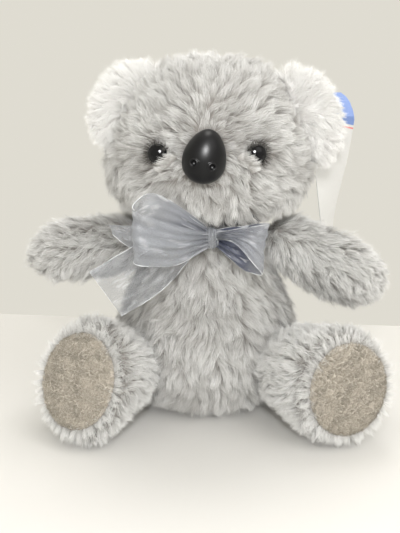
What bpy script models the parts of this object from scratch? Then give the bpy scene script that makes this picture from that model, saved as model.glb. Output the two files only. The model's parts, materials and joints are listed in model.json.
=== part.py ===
"""A sitting plush koala: a skin and a filling for the body, the head and each limb,
two-panel ears, safety eyes and nose with their washers, a tied organza bow and a hang tag.

The frame is metres, +Z up, and the toy faces -Y. The origin is the middle of its seat,
on the surface it sits on. Left and right are the toy's own, so its left side is +X.
"""

import math

import bmesh
import bpy
from mathutils import Matrix, Vector

# Fabric, clearances and cutters
SKIN_WALL = 0.0025  # plush backing with the roots of its pile
GAP = 0.0003  # clearance between two pieces that touch
OVERRUN = 0.004  # how far a cutter runs past what it cuts

# Body, from the seat up to the neck
NECK_HEIGHT = 0.133
BELLY_HALF_WIDTH = 0.060
BELLY_HALF_DEPTH = 0.049
BELLY_HEIGHT = 0.042
SEAT_HALF_WIDTH = 0.036
SEAT_HALF_DEPTH = 0.030
CHEST_HALF_WIDTH = 0.040
CHEST_HALF_DEPTH = 0.037
CHEST_DROP = 0.021  # neck to where the shoulders begin to close
NECK_RADIUS = 0.034
NECK_FOOT_DROP = 0.009  # neck to where they have closed
CHEST_HEIGHT = NECK_HEIGHT - CHEST_DROP
NECK_FOOT_HEIGHT = NECK_HEIGHT - NECK_FOOT_DROP

# Head
HEAD_HALF_WIDTH = 0.066
HEAD_HALF_DEPTH = 0.054
HEAD_HEIGHT = 0.092  # neck to the top
HEAD_RISE = 0.0385  # neck to the widest level
HEAD_CROWN = HEAD_HEIGHT - HEAD_RISE
HEAD_JAW = 0.060  # widest level to where the lower half would close
HEAD_SIDE = 0.0012  # the head sits a little to the toy's left
HEAD_FULLNESS = 0.92  # below 1 swells the crown
HEAD_CHEEK_FULLNESS = 0.70  # the same for the half with the cheeks

# Ears
EAR_HALF_LENGTH = {"left": 0.0340, "right": 0.0315}
EAR_REACH = 0.026
EAR_HALF_THICKNESS = 0.007
EAR_FORWARD = 0.012
EAR_ROOT_SHARES = {"left": (0.825, 0.315), "right": (0.69, 0.44)}  # of the head's width and crown
EAR_OUT_ANGLE = {"left": math.radians(24), "right": math.radians(36)}
EAR_FLEX = math.radians(12)

# Arms
ARM_BALL_RADIUS = 0.0185
ARM_STANDOFF = 0.013  # ball centre to the body's side
ARM_SHOULDER_DROP = 0.023  # neck to the ball centre
ARM_SHOULDER_HEIGHT = NECK_HEIGHT - ARM_SHOULDER_DROP
ARM_SETBACK = 0.005  # ball centre in front of the neck's axis
ARM_REACH = {"left": 0.069, "right": 0.061}  # ball centre to the tip of the paw
ARM_PAW_RADIUS = {"left": 0.0215, "right": 0.0190}
ARM_PAW_SHARE = 0.56  # of the reach, where the paw is widest
ARM_OPENING_RADIUS = 0.010
ARM_DROP = {"left": math.radians(26), "right": math.radians(4)}
ARM_FORWARD_TURN = {"left": math.radians(8), "right": math.radians(14)}

# Legs
HIP_BALL_RADIUS = 0.029
HIP_STANDOFF = 0.0155  # ball centre to the body's side
HIP_HEIGHT = 0.0355
HIP_PLACE_ANGLE = math.radians(54)  # round the body's outline from its front
LEG_REACH = {"left": 0.039, "right": 0.028}  # ball centre to the sole
LEG_TURN = {"left": math.radians(34), "right": math.radians(37)}
LEG_LIFT = math.radians(5)
LEG_OPENING_RADIUS = 0.015
HIP_BEND_SHARE = 0.6  # of the turn to the sole that the ball has already made
FOOT_HALF_WIDTH = 0.0312
FOOT_HALF_HEIGHT = {"left": 0.0390, "right": 0.0415}
FOOT_EDGE_RADIUS = 0.0045
SOLE_TURN = {"left": math.radians(11), "right": math.radians(20)}
SOLE_TILT = {"left": math.radians(5), "right": math.radians(24)}
SOLE_CROWN = 0.0015
PAD_HALF_WIDTH = 0.0235
PAD_HALF_HEIGHT = 0.0290
PAD_SIDE = 0.0026  # outwards from the middle of the sole

# Eyes
EYE_RADIUS = 0.00575
EYE_HEIGHT = 0.0042
EYE_STEM_RADIUS = 0.0019
EYE_STEM_LENGTH = 0.0100
EYE_WASHER_RADIUS = 0.0068
EYE_HALF_SPACING = 0.0275
EYE_RISE = 0.0020  # above the head's widest level
EYE_SIDE = -0.0018  # the middle of the two, from the head's

# Nose
NOSE_HALF_WIDTH = 0.0142
NOSE_HALF_HEIGHT = 0.0152
NOSE_DEPTH = 0.0130
NOSE_RISE = 0.0014
NOSE_SIDE = -0.0030
NOSE_ROLL = math.radians(-12)
NOSE_TAPER_SHARE = 0.30  # how much narrower the top is than the bottom
NOSE_STEM_RADIUS = 0.0024
NOSE_STEM_LENGTH = 0.0110
NOSE_WASHER_RADIUS = 0.0090
NOSTRIL_RADIUS = 0.0017
NOSTRIL_RIM_RADIUS = 0.0007
NOSTRIL_HALF_SPACING = 0.0050
NOSTRIL_DROP = 0.0030
WASHER_THICKNESS = 0.0012
WASHER_CLEARANCE = 0.0022  # room for the skin's curve over the flat washer

# Organza ribbon
RIBBON_THICKNESS = 0.0008
RIBBON_HALF_WIDTH = 0.0165  # as it lies in the bow, a little gathered
COLLAR_HEIGHT = 0.0062
COLLAR_PLEAT = 0.0009
KNOT_HALF_WIDTH = 0.0065
KNOT_HALF_DEPTH = 0.0052
KNOT_HALF_HEIGHT = 0.0080
KNOT_DROP = 0.0095  # neck to the middle of the knot
KNOT_SIDE = 0.0025  # it is tied a little to the toy's left
KNOT_FULLNESS = 0.6
PLEAT_DEPTH = 0.0010

# Hang tag and its fastener
TAG_HALF_WIDTH = 0.0115
TAG_LENGTH = 0.106
TAG_THICKNESS = 0.0006
TAG_TWIST = math.radians(62)
TAG_STRAIGHT_SHARE = 0.06  # of its drop, before it starts to lean
TAG_LEAN = 0.037  # how far its lower end hangs behind its hole
TAG_SWAY = 0.007  # how far its lower end hangs out from its hole
TAG_BEHIND_EAR = 0.0015
TAG_HOLE_DROP = 0.0085
FASTENER_RADIUS = 0.0006
FASTENER_BAR_RADIUS = 0.0007
FASTENER_BAR_HALF_LENGTH = 0.0035
FASTENER_HEAD_RADIUS = 0.0022
FASTENER_HEAD_THICKNESS = 0.0009
FASTENER_REACH_SHARE = 0.92  # of the ear's reach, where the tag is pinned
FASTENER_SLIDE_SHARE = -0.08  # of the ear's half length

# Where the rings of the forms lie
BODY_UNDER_RINGS = 6
BODY_SIDE_RINGS = 7
BODY_SHOULDER_RINGS = 3
CHEEK_RINGS = 4
BALL_RINGS = 3
BALL_START_ANGLE = math.radians(-72)
CROWN_DEGREES = (0, 15, 30, 44, 57, 69, 80)
PAW_SWELL_SHARES = (0.35, 0.7, 1)
PAW_TIP_DEGREES = (22, 44, 62, 78)
FOOT_SWELL_SHARES = (0.35, 0.7, 1)
FOOT_EDGE_DEGREES = (35, 65, 90)
SOLE_RING_SHARES = (0.7, 0.35)
PAD_RING_SHARES = ((0.72, 0.5), (0.4, 1))  # of the pad's size, and of its crown
DOME_DEGREES = (0, 20, 40, 58, 74, 86)
KNOT_DEGREES = (-80, -60, -35, -10, 10, 35, 60, 80)
TAG_DROP_SHARES = (-0.087, -0.065, -0.03, 0.02, 0.08, 0.18, 0.3, 0.42, 0.54, 0.66, 0.78, 0.89, 1)
TAG_WIDTH_SHARES = (0.20, 0.48, 0.72, 0.90, 1, 1, 1, 1, 1, 1, 1, 1, 1)

SIDES = {"left": 1, "right": -1}
UNIT = 1
RIGHT_ANGLE = math.pi / 2
UP = Vector((0, 0, UNIT))


def clear_scene():
    for thing in list(bpy.data.objects):
        bpy.data.objects.remove(thing, do_unlink=True)


def make_material(name, colour, roughness, metallic=0.0, alpha=1.0):
    material = bpy.data.materials.new(name)
    material.use_nodes = True
    shader = material.node_tree.nodes["Principled BSDF"]
    shader.inputs["Base Color"].default_value = (*colour, UNIT)
    shader.inputs["Roughness"].default_value = roughness
    shader.inputs["Metallic"].default_value = metallic
    shader.inputs["Alpha"].default_value = alpha
    material.diffuse_color = (*colour, UNIT)
    return material


def add_pivot(name, place):
    pivot = bpy.data.objects.new(name, None)
    pivot.location = place
    bpy.context.scene.collection.objects.link(pivot)
    return pivot


def add_object(name, bm, material, pivot=None):
    """The mesh, built in world places, as an object whose origin is its pivot."""
    bmesh.ops.recalc_face_normals(bm, faces=bm.faces)
    if bm.calc_volume(signed=True) < 0:
        bmesh.ops.reverse_faces(bm, faces=bm.faces)
    if pivot:
        bmesh.ops.translate(bm, vec=-pivot.location, verts=bm.verts)
    mesh = bpy.data.meshes.new(name)
    bm.to_mesh(mesh)
    bm.free()
    if material:
        mesh.materials.append(material)
    mesh.shade_smooth()
    thing = bpy.data.objects.new(name, mesh)
    bpy.context.scene.collection.objects.link(thing)
    thing.parent = pivot
    return thing


def add_cutter(name, bm, pivot=None):
    cutter = add_object(name, bm, None, pivot)
    cutter.hide_render = True
    cutter.display_type = "WIRE"
    return cutter


def combine(target, other, operation="DIFFERENCE"):
    modifier = target.modifiers.new(other.name, "BOOLEAN")
    modifier.operation = operation
    modifier.object = other
    modifier.solver = "EXACT"
    return target


def cut(target, *cutters):
    for cutter in cutters:
        combine(target, cutter)
    return target


def ease(start, end, share):
    """A smooth run from start to end, level at both ends."""
    return start + (end - start) * (UNIT - math.cos(math.pi * share)) / 2


def frame_along(direction, upright=UP):
    """A turn whose Z follows the direction and whose Y stays as upright as it can."""
    z = Vector(direction).normalized()
    x = Vector(upright).cross(z).normalized()
    return Matrix((x, z.cross(x), z)).transposed()


def ring(centre, half_x, half_y, turn=None):
    """The transform that lays a unit circle as an ellipse at the centre."""
    turned = (turn or Matrix.Identity(3)).to_4x4()
    return Matrix.Translation(centre) @ turned @ Matrix.Diagonal((half_x, half_y, UNIT, UNIT))


def loft(rings, segments):
    """A closed solid that grows from ring to ring, with flat ends."""
    bm = bmesh.new()
    bmesh.ops.create_circle(
        bm, cap_ends=True, segments=segments, radius=UNIT, matrix=rings[0]
    )
    rim = list(bm.edges)
    for here, after in zip(rings, rings[1:]):
        grown = bmesh.ops.extrude_edge_only(bm, edges=rim)["geom"]
        points = [item for item in grown if isinstance(item, bmesh.types.BMVert)]
        rim = [
            item
            for item in grown
            if isinstance(item, bmesh.types.BMEdge) and all(end in points for end in item.verts)
        ]
        bmesh.ops.transform(bm, matrix=after @ here.inverted(), verts=points)
    bmesh.ops.edgeloop_fill(bm, edges=rim)
    return bm


def stand_on(bm, height):
    """Flattens what reaches below the height."""
    for vertex in bm.verts:
        vertex.co.z = max(vertex.co.z, height)
    return bm


def ball(centre, radius, segments=20, rings=12):
    """A ball whose flats, not its corners, lie at the radius, so that it clears what it holds."""
    bm = bmesh.new()
    reach = radius / (math.cos(math.pi / segments) * math.cos(math.pi / rings / 2))
    bmesh.ops.create_uvsphere(
        bm,
        u_segments=segments,
        v_segments=rings,
        radius=reach,
        matrix=Matrix.Translation(centre),
    )
    return bm


def drum(centre, direction, radius, start, end, segments=20, stretch=UNIT):
    """A cylinder round the direction, from start to end along it."""
    turn = frame_along(direction)
    along = Vector(direction).normalized()
    return loft(
        [
            ring(centre + along * start, radius, radius * stretch, turn),
            ring(centre + along * end, radius, radius * stretch, turn),
        ],
        segments,
    )


def body_half_sizes(height):
    """Half width and half depth of the body's surface at a height."""
    belly = (BELLY_HALF_WIDTH, BELLY_HALF_DEPTH)
    chest = (CHEST_HALF_WIDTH, CHEST_HALF_DEPTH)
    seat = (SEAT_HALF_WIDTH, SEAT_HALF_DEPTH)
    neck = (NECK_RADIUS, NECK_RADIUS)
    if height <= BELLY_HEIGHT:
        rise = UNIT - height / BELLY_HEIGHT
        swell = math.sqrt(UNIT - rise * rise)
        return tuple(low + (high - low) * swell for low, high in zip(seat, belly))
    if height <= CHEST_HEIGHT:
        share = (height - BELLY_HEIGHT) / (CHEST_HEIGHT - BELLY_HEIGHT)
        return tuple(ease(low, high, share) for low, high in zip(belly, chest))
    if height <= NECK_FOOT_HEIGHT:
        share = (height - CHEST_HEIGHT) / (NECK_FOOT_HEIGHT - CHEST_HEIGHT)
        return tuple(ease(low, high, share) for low, high in zip(chest, neck))
    return neck


def body_heights():
    """Levels of the body's rings: close together where it turns, wider where it runs straight."""
    under = [
        BELLY_HEIGHT * (UNIT - math.cos(RIGHT_ANGLE * step / BODY_UNDER_RINGS))
        for step in range(BODY_UNDER_RINGS)
    ]
    side = [
        BELLY_HEIGHT + (CHEST_HEIGHT - BELLY_HEIGHT) * step / BODY_SIDE_RINGS
        for step in range(BODY_SIDE_RINGS)
    ]
    shoulder = [
        CHEST_HEIGHT + (NECK_FOOT_HEIGHT - CHEST_HEIGHT) * step / BODY_SHOULDER_RINGS
        for step in range(BODY_SHOULDER_RINGS + 1)
    ]
    return under + side + shoulder


def body_form(inset, top):
    """The body's surface moved inwards by inset. Its floor rises by inset too."""
    rings = []
    for height in body_heights():
        half_width, half_depth = body_half_sizes(height)
        lifted = height + inset * max(0, UNIT - height / BELLY_HEIGHT)
        rings.append(ring((0, 0, lifted), half_width - inset, half_depth - inset))
    rings.append(ring((0, 0, top), NECK_RADIUS - inset, NECK_RADIUS - inset))
    return rings


HEAD_LEVEL = NECK_HEIGHT + GAP + HEAD_RISE


def head_swell(rise):
    """How full the head is at a rise over its widest level, 1 at the widest."""
    reach, fullness = (HEAD_CROWN, HEAD_FULLNESS) if rise > 0 else (HEAD_JAW, HEAD_CHEEK_FULLNESS)
    return max(UNIT - (rise / reach) ** 2, 0) ** (fullness / 2)


def head_form(inset, bottom, opening_radius=None):
    """The head's surface moved inwards by inset, flat at its underside.

    With an opening radius, a round spigot of that radius runs from the bottom up to the
    underside, where the neck's seam is.
    """
    rings = []
    underside = NECK_HEIGHT + GAP + inset
    if opening_radius:
        rings.append(ring((0, 0, bottom), opening_radius, opening_radius))
        rings.append(ring((0, 0, underside), opening_radius, opening_radius))
    lowest = math.asin((underside - HEAD_LEVEL) / (HEAD_JAW - inset))
    angles = [lowest * (UNIT - step / CHEEK_RINGS) for step in range(CHEEK_RINGS)]
    angles += [math.radians(degrees) for degrees in CROWN_DEGREES]
    for angle in angles:
        reach = (HEAD_CROWN if angle > 0 else HEAD_JAW) - inset
        fullness = math.cos(angle) ** (HEAD_FULLNESS if angle > 0 else HEAD_CHEEK_FULLNESS)
        rings.append(
            ring(
                (HEAD_SIDE, 0, HEAD_LEVEL + reach * math.sin(angle)),
                (HEAD_HALF_WIDTH - inset) * fullness,
                (HEAD_HALF_DEPTH - inset) * fullness,
            )
        )
    return rings


def head_front(side_offset, rise):
    """The point of the head's front at a side offset from its middle and a rise, and its normal."""
    swell = head_swell(rise)
    half_width = HEAD_HALF_WIDTH * swell
    half_depth = HEAD_HALF_DEPTH * swell
    across = side_offset / half_width
    depth = half_depth * math.sqrt(UNIT - across * across)
    reach = HEAD_CROWN if rise > 0 else HEAD_JAW
    normal = Vector(
        (
            side_offset / HEAD_HALF_WIDTH**2,
            -depth / HEAD_HALF_DEPTH**2,
            rise / reach**2,
        )
    )
    return Vector((HEAD_SIDE + side_offset, -depth, HEAD_LEVEL + rise)), normal.normalized()


def turned_direction(side, turn, tilt=0):
    """A direction turned outwards from the toy's front, on its side, and tilted up."""
    return Vector(
        (
            side * math.sin(turn) * math.cos(tilt),
            -math.cos(turn) * math.cos(tilt),
            math.sin(tilt),
        )
    )


def arm_frame(name):
    side = SIDES[name]
    half_width = body_half_sizes(ARM_SHOULDER_HEIGHT)[0]
    centre = Vector((side * (half_width + ARM_STANDOFF), -ARM_SETBACK, ARM_SHOULDER_HEIGHT))
    direction = turned_direction(side, RIGHT_ANGLE - ARM_FORWARD_TURN[name], -ARM_DROP[name])
    return centre, direction


def arm_form(name, inset, opening_radius=None):
    """The arm's surface moved inwards by inset: a ball, a swelling forearm and a round paw."""
    centre, direction = arm_frame(name)
    turn = frame_along(direction)
    ball_radius = ARM_BALL_RADIUS - inset
    paw_radius = ARM_PAW_RADIUS[name] - inset
    paw_place = ARM_REACH[name] * ARM_PAW_SHARE
    outline = []
    first_angle = BALL_START_ANGLE
    if opening_radius:
        seat = math.sqrt(ARM_BALL_RADIUS**2 - ARM_OPENING_RADIUS**2)
        run_out = seat if inset > SKIN_WALL else ARM_BALL_RADIUS + OVERRUN
        outline.append((-run_out, opening_radius))
        first_angle = -math.acos(opening_radius / ball_radius)
    outline += [
        (ball_radius * math.sin(angle), ball_radius * math.cos(angle))
        for angle in (first_angle * (UNIT - step / BALL_RINGS) for step in range(BALL_RINGS + 1))
    ]
    outline += [
        (paw_place * share, ease(ball_radius, paw_radius, share)) for share in PAW_SWELL_SHARES
    ]
    tip = ARM_REACH[name] - inset - paw_place
    for angle in (math.radians(degrees) for degrees in PAW_TIP_DEGREES):
        outline.append((paw_place + tip * math.sin(angle), paw_radius * math.cos(angle)))
    return [ring(centre + direction * along, radius, radius, turn) for along, radius in outline]


def hip_frame(name):
    side = SIDES[name]
    half_width, half_depth = body_half_sizes(HIP_HEIGHT)
    place = Vector(
        (
            side * half_width * math.sin(HIP_PLACE_ANGLE),
            -half_depth * math.cos(HIP_PLACE_ANGLE),
            HIP_HEIGHT,
        )
    )
    outwards = Vector(
        (
            side * math.sin(HIP_PLACE_ANGLE) / half_width,
            -math.cos(HIP_PLACE_ANGLE) / half_depth,
            0,
        )
    ).normalized()
    return place + outwards * HIP_STANDOFF, turned_direction(side, LEG_TURN[name], LEG_LIFT)


def sole_frame(name):
    """The middle of the sole and the way it faces."""
    centre, direction = hip_frame(name)
    facing = turned_direction(SIDES[name], SOLE_TURN[name], SOLE_TILT[name])
    ankle = centre + direction * (LEG_REACH[name] - FOOT_EDGE_RADIUS)
    return ankle + facing * FOOT_EDGE_RADIUS, facing


def leg_form(name, inset, opening_radius=None):
    """The leg's surface moved inwards by inset: a ball at the hip that swells to a big flat foot.

    The rings turn from the leg's own direction to the way the sole faces.
    """
    centre, direction = hip_frame(name)
    sole, facing = sole_frame(name)
    ball_radius = HIP_BALL_RADIUS - inset
    foot_half_height = FOOT_HALF_HEIGHT[name]
    edge = FOOT_EDGE_RADIUS - inset
    ankle = LEG_REACH[name] - FOOT_EDGE_RADIUS
    outline = []
    first_angle = BALL_START_ANGLE
    if opening_radius:
        seat = math.sqrt(HIP_BALL_RADIUS**2 - LEG_OPENING_RADIUS**2)
        run_out = seat if inset > SKIN_WALL else HIP_BALL_RADIUS + OVERRUN
        outline.append((-run_out, opening_radius, opening_radius, HIP_BEND_SHARE))
        first_angle = -math.acos(opening_radius / ball_radius)
    for step in range(BALL_RINGS + 1):
        angle = first_angle * (UNIT - step / BALL_RINGS)
        radius = ball_radius * math.cos(angle)
        outline.append((ball_radius * math.sin(angle), radius, radius, HIP_BEND_SHARE))
    for share in FOOT_SWELL_SHARES:
        outline.append(
            (
                ankle * share,
                ball_radius + (FOOT_HALF_WIDTH - inset - ball_radius) * share,
                ball_radius + (foot_half_height - inset - ball_radius) * share,
                ease(HIP_BEND_SHARE, UNIT, share),
            )
        )
    for angle in (math.radians(degrees) for degrees in FOOT_EDGE_DEGREES):
        shrink = FOOT_EDGE_RADIUS - edge * math.cos(angle)
        outline.append(
            (
                ankle + edge * math.sin(angle),
                FOOT_HALF_WIDTH - shrink,
                foot_half_height - shrink,
                UNIT,
            )
        )
    sole_half_width = FOOT_HALF_WIDTH - FOOT_EDGE_RADIUS
    sole_half_height = foot_half_height - FOOT_EDGE_RADIUS
    for share in () if inset else SOLE_RING_SHARES:
        rise = SOLE_CROWN * (UNIT - share * share)
        outline.append(
            (ankle + edge + rise, sole_half_width * share, sole_half_height * share, UNIT)
        )
    rings = []
    for along, half_width, half_height, bend in outline:
        heading = direction.lerp(facing, bend).normalized()
        lead = heading if along < 0 else direction
        middle = centre + lead * min(along, ankle) + facing * max(along - ankle, 0)
        rings.append(ring(middle, half_width, half_height, frame_along(heading)))
    return rings


def ear_frame(name):
    """The ear's root, its length along the head, the way it grows out, and its front."""
    side = SIDES[name]
    across, rise = EAR_ROOT_SHARES[name]
    root = Vector(
        (
            HEAD_SIDE + side * HEAD_HALF_WIDTH * across,
            -EAR_FORWARD,
            HEAD_LEVEL + HEAD_CROWN * rise,
        )
    )
    angle = EAR_OUT_ANGLE[name]
    outwards = Vector((side * math.cos(angle), 0, math.sin(angle)))
    lengthways = Vector((-side * math.sin(angle), 0, math.cos(angle)))
    return root, lengthways, outwards, Vector((0, -UNIT, 0))


def ear_form(name, grow=0, flex=0, segments=20, rings=10):
    """A padded half disc on a spindle-shaped root. Grow makes it larger all round.

    Flex opens its front and its back apart, to the room that the ear sweeps through.
    """
    root, lengthways, outwards, front = ear_frame(name)
    bm = bmesh.new()
    bmesh.ops.create_uvsphere(bm, u_segments=segments, v_segments=rings, radius=UNIT)
    thickness = EAR_HALF_THICKNESS + grow
    for vertex in bm.verts:
        out, through, along = vertex.co
        reach = EAR_REACH + grow if out > 0 else thickness
        grown, thick = out * reach, through * thickness
        if out > -GAP and abs(through) > GAP:
            swing = math.copysign(flex, through)
            grown, thick = (
                grown * math.cos(swing) - thick * math.sin(swing),
                grown * math.sin(swing) + thick * math.cos(swing),
            )
        vertex.co = (
            root
            + outwards * grown
            + front * thick
            + lengthways * along * (EAR_HALF_LENGTH[name] + grow)
        )
    return bm


def ear_panel(name, facing):
    """Half of the ear, in front of its middle or behind it, with half the gap taken off."""
    root, _, _, front = ear_frame(name)
    bm = ear_form(name)
    normal = front * facing
    bmesh.ops.bisect_plane(
        bm,
        geom=list(bm.verts) + list(bm.edges) + list(bm.faces),
        plane_co=root + normal * GAP / 2,
        plane_no=normal,
        clear_inner=True,
    )
    bmesh.ops.holes_fill(bm, edges=[edge for edge in bm.edges if edge.is_boundary])
    return bm


def dome_rings(centre, turn, radius, height, half_x=UNIT, half_y=UNIT):
    axis = turn.col[2]
    rings = []
    for angle in (math.radians(degrees) for degrees in DOME_DEGREES):
        size = radius * math.cos(angle)
        middle = centre + axis * height * math.sin(angle)
        rings.append(ring(middle, size * half_x, size * half_y, turn))
    return rings


def stem_rings(seat, direction, radius, length):
    turn = frame_along(direction)
    return [
        ring(seat - direction * length, radius, radius, turn),
        ring(seat, radius, radius, turn),
    ]


def add_washer(name, centre, direction, radius, stem_radius, material, pivot):
    """The locking washer on the stem, just inside the skin."""
    start = -(SKIN_WALL + WASHER_CLEARANCE)
    end = start - WASHER_THICKNESS
    plate = add_object(name, drum(centre, direction, radius, end, start, segments=24), material, pivot)
    hole = drum(centre, direction, stem_radius + GAP, end - OVERRUN, 0, segments=12)
    return cut(plate, add_cutter(name + "_hole", hole, pivot))


def strip(stations, material, name, pivot=None, columns=6, pleats=0, thickness=RIBBON_THICKNESS):
    """A ribbon with a real thickness, through stations of (centre, half width, pleat depth)."""
    bm = bmesh.new()
    steps = [column / columns * 2 - UNIT for column in range(columns + 1)]
    rows = []
    for index, (centre, half_width, pleat) in enumerate(stations):
        before = stations[max(index - 1, 0)][0]
        after = stations[min(index + 1, len(stations) - 1)][0]
        across = (after - before).cross(half_width).normalized()
        row = []
        for step in steps:
            fold = across * pleat * math.cos(math.pi * pleats * step)
            row.append(bm.verts.new(centre + half_width * step + fold))
        rows.append(row)
    for row, following in zip(rows, rows[1:]):
        for column in range(columns):
            bm.faces.new((row[column], row[column + 1], following[column + 1], following[column]))
    ribbon = add_object(name, bm, material, pivot)
    solid = ribbon.modifiers.new("thickness", "SOLIDIFY")
    solid.thickness = thickness
    solid.offset = 0
    solid.use_even_offset = True
    return ribbon


def curve_through(points, share):
    """A point of the smooth curve through evenly spaced points."""
    place = share * (len(points) - 1)
    index = min(int(place), len(points) - 2)
    t = place - index
    p0 = points[max(index - 1, 0)]
    p1 = points[index]
    p2 = points[index + 1]
    p3 = points[min(index + 2, len(points) - 1)]
    return (
        2 * p1
        + (p2 - p0) * t
        + (2 * p0 - 5 * p1 + 4 * p2 - p3) * t * t
        + (3 * p1 - p0 - 3 * p2 + p3) * t**3
    ) / 2


def knot_middle():
    front = NECK_RADIUS + GAP + RIBBON_THICKNESS + COLLAR_PLEAT * 2 + GAP
    return Vector((KNOT_SIDE, -(front + KNOT_HALF_DEPTH), NECK_HEIGHT - KNOT_DROP))


def build_body(materials):
    skin = add_object("body_skin", loft(body_form(0, NECK_HEIGHT), 24), materials["grey_plush"])
    hollow = add_cutter("body_hollow", loft(body_form(SKIN_WALL, NECK_HEIGHT + OVERRUN), 20))
    filling = add_object(
        "body_filling", loft(body_form(SKIN_WALL + GAP, NECK_HEIGHT), 20), materials["filling"]
    )
    cut(skin, hollow)
    for name in SIDES:
        shoulder = add_cutter(
            name + "_shoulder_socket", ball(arm_frame(name)[0], ARM_BALL_RADIUS + GAP)
        )
        hip = add_cutter(name + "_hip_socket", ball(hip_frame(name)[0], HIP_BALL_RADIUS + GAP))
        cut(skin, shoulder, hip)
        cut(filling, shoulder, hip)


def build_head(materials, neck):
    opening = NECK_RADIUS - SKIN_WALL
    skin = add_object(
        "head_skin", loft(head_form(0, NECK_HEIGHT + GAP), 24), materials["grey_plush"], neck
    )
    hollow = loft(head_form(SKIN_WALL, NECK_HEIGHT - OVERRUN, opening), 20)
    cut(skin, add_cutter("head_hollow", hollow, neck))
    plug = loft(head_form(SKIN_WALL + GAP, NECK_HEIGHT + GAP, opening - GAP), 20)
    filling = add_object("head_filling", plug, materials["filling"], neck)
    for name in SIDES:
        groove = add_cutter(name + "_ear_groove", ear_form(name, grow=GAP, flex=EAR_FLEX), neck)
        cut(skin, groove)
        cut(filling, groove)
    return skin, filling


def build_face(materials, neck, skin, filling):
    for name, side in SIDES.items():
        point, normal = head_front(EYE_SIDE + side * EYE_HALF_SPACING, EYE_RISE)
        seat = point + normal * GAP
        rings = stem_rings(seat, normal, EYE_STEM_RADIUS, EYE_STEM_LENGTH)
        rings += dome_rings(seat, frame_along(normal), EYE_RADIUS, EYE_HEIGHT)
        add_object("eye_" + name, loft(rings, 16), materials["glossy_black"], neck)
        sizes = (EYE_WASHER_RADIUS, EYE_STEM_RADIUS)
        add_washer(f"eye_{name}_washer", point, normal, *sizes, materials["washer"], neck)
        cut_for_stem(name + "_eye", point, normal, EYE_STEM_LENGTH, *sizes, neck, skin, filling)
    build_nose(materials, neck, skin, filling)


def cut_for_stem(name, point, normal, length, washer_radius, radius, pivot, skin, filling):
    """The hole in the skin and the room in the filling for a stem and its washer."""
    hole = drum(point, normal, radius + GAP, -length - GAP, OVERRUN, segments=16)
    hole = add_cutter(name + "_stem_hole", hole, pivot)
    depth = SKIN_WALL + WASHER_CLEARANCE + WASHER_THICKNESS + GAP
    room = drum(point, normal, washer_radius + GAP, -depth, 0, segments=24)
    room = add_cutter(name + "_washer_room", room, pivot)
    cut(skin, hole)
    cut(filling, hole, room)


def build_nose(materials, neck, skin, filling):
    """An egg on its broad end, with two rimmed nostrils."""
    point, normal = head_front(NOSE_SIDE, NOSE_RISE)
    seat = point + normal * GAP
    turn = frame_along(normal) @ Matrix.Rotation(NOSE_ROLL, 3, "Z")
    rings = stem_rings(seat, normal, NOSE_STEM_RADIUS, NOSE_STEM_LENGTH)
    rings += dome_rings(seat, turn, UNIT, NOSE_DEPTH, NOSE_HALF_WIDTH, NOSE_HALF_HEIGHT)
    bm = loft(rings, 20)
    sideways, upwards = turn.col[0], turn.col[1]
    for vertex in bm.verts:
        offset = vertex.co - seat
        if offset.dot(normal) > -GAP:
            rise = offset.dot(upwards) / NOSE_HALF_HEIGHT
            narrowing = NOSE_TAPER_SHARE * (rise + UNIT) / 2
            vertex.co -= sideways * offset.dot(sideways) * narrowing
    nose = add_object("nose", bm, materials["satin_black"], neck)
    for name, side in SIDES.items():
        across = side * NOSTRIL_HALF_SPACING
        share = (across / NOSE_HALF_WIDTH) ** 2 + (NOSTRIL_DROP / NOSE_HALF_HEIGHT) ** 2
        front = seat + normal * NOSE_DEPTH * math.sqrt(UNIT - share)
        middle = front + sideways * across - upwards * NOSTRIL_DROP
        outwards = (normal * NOSE_HALF_WIDTH + sideways * across).normalized()
        rim = bmesh.new()
        profile = bmesh.ops.create_circle(
            rim,
            segments=5,
            radius=NOSTRIL_RIM_RADIUS,
            matrix=Matrix.Translation((NOSTRIL_RADIUS, 0, 0)) @ Matrix.Rotation(RIGHT_ANGLE, 4, "X"),
        )["verts"]
        bmesh.ops.spin(
            rim,
            geom=profile + list(rim.edges),
            cent=(0, 0, 0),
            axis=(0, 0, UNIT),
            angle=2 * math.pi,
            steps=12,
            use_merge=True,
        )
        bmesh.ops.transform(
            rim,
            matrix=Matrix.Translation(middle) @ frame_along(outwards).to_4x4(),
            verts=rim.verts,
        )
        combine(nose, add_cutter(name + "_nostril_rim", rim, neck), "UNION")
        pit = ball(middle, NOSTRIL_RADIUS, segments=12, rings=6)
        cut(nose, add_cutter(name + "_nostril_pit", pit, neck))
    sizes = (NOSE_WASHER_RADIUS, NOSE_STEM_RADIUS)
    add_washer("nose_washer", point, normal, *sizes, materials["washer"], neck)
    cut_for_stem("nose", point, normal, NOSE_STEM_LENGTH, *sizes, neck, skin, filling)


def build_ears(materials, pivots):
    for name in SIDES:
        for label, facing in (("front", UNIT), ("back", -UNIT)):
            add_object(
                f"ear_{name}_{label}", ear_panel(name, facing), materials["white_plush"], pivots[name]
            )


def build_arms(materials, pivots):
    for name in SIDES:
        pivot = pivots[name]
        skin = add_object(f"arm_{name}_skin", loft(arm_form(name, 0), 20), materials["grey_plush"], pivot)
        hollow = loft(arm_form(name, SKIN_WALL, ARM_OPENING_RADIUS), 16)
        cut(skin, add_cutter(name + "_arm_hollow", hollow, pivot))
        filling = loft(arm_form(name, SKIN_WALL + GAP, ARM_OPENING_RADIUS - GAP), 16)
        add_object(f"arm_{name}_filling", filling, materials["filling"], pivot)


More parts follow.
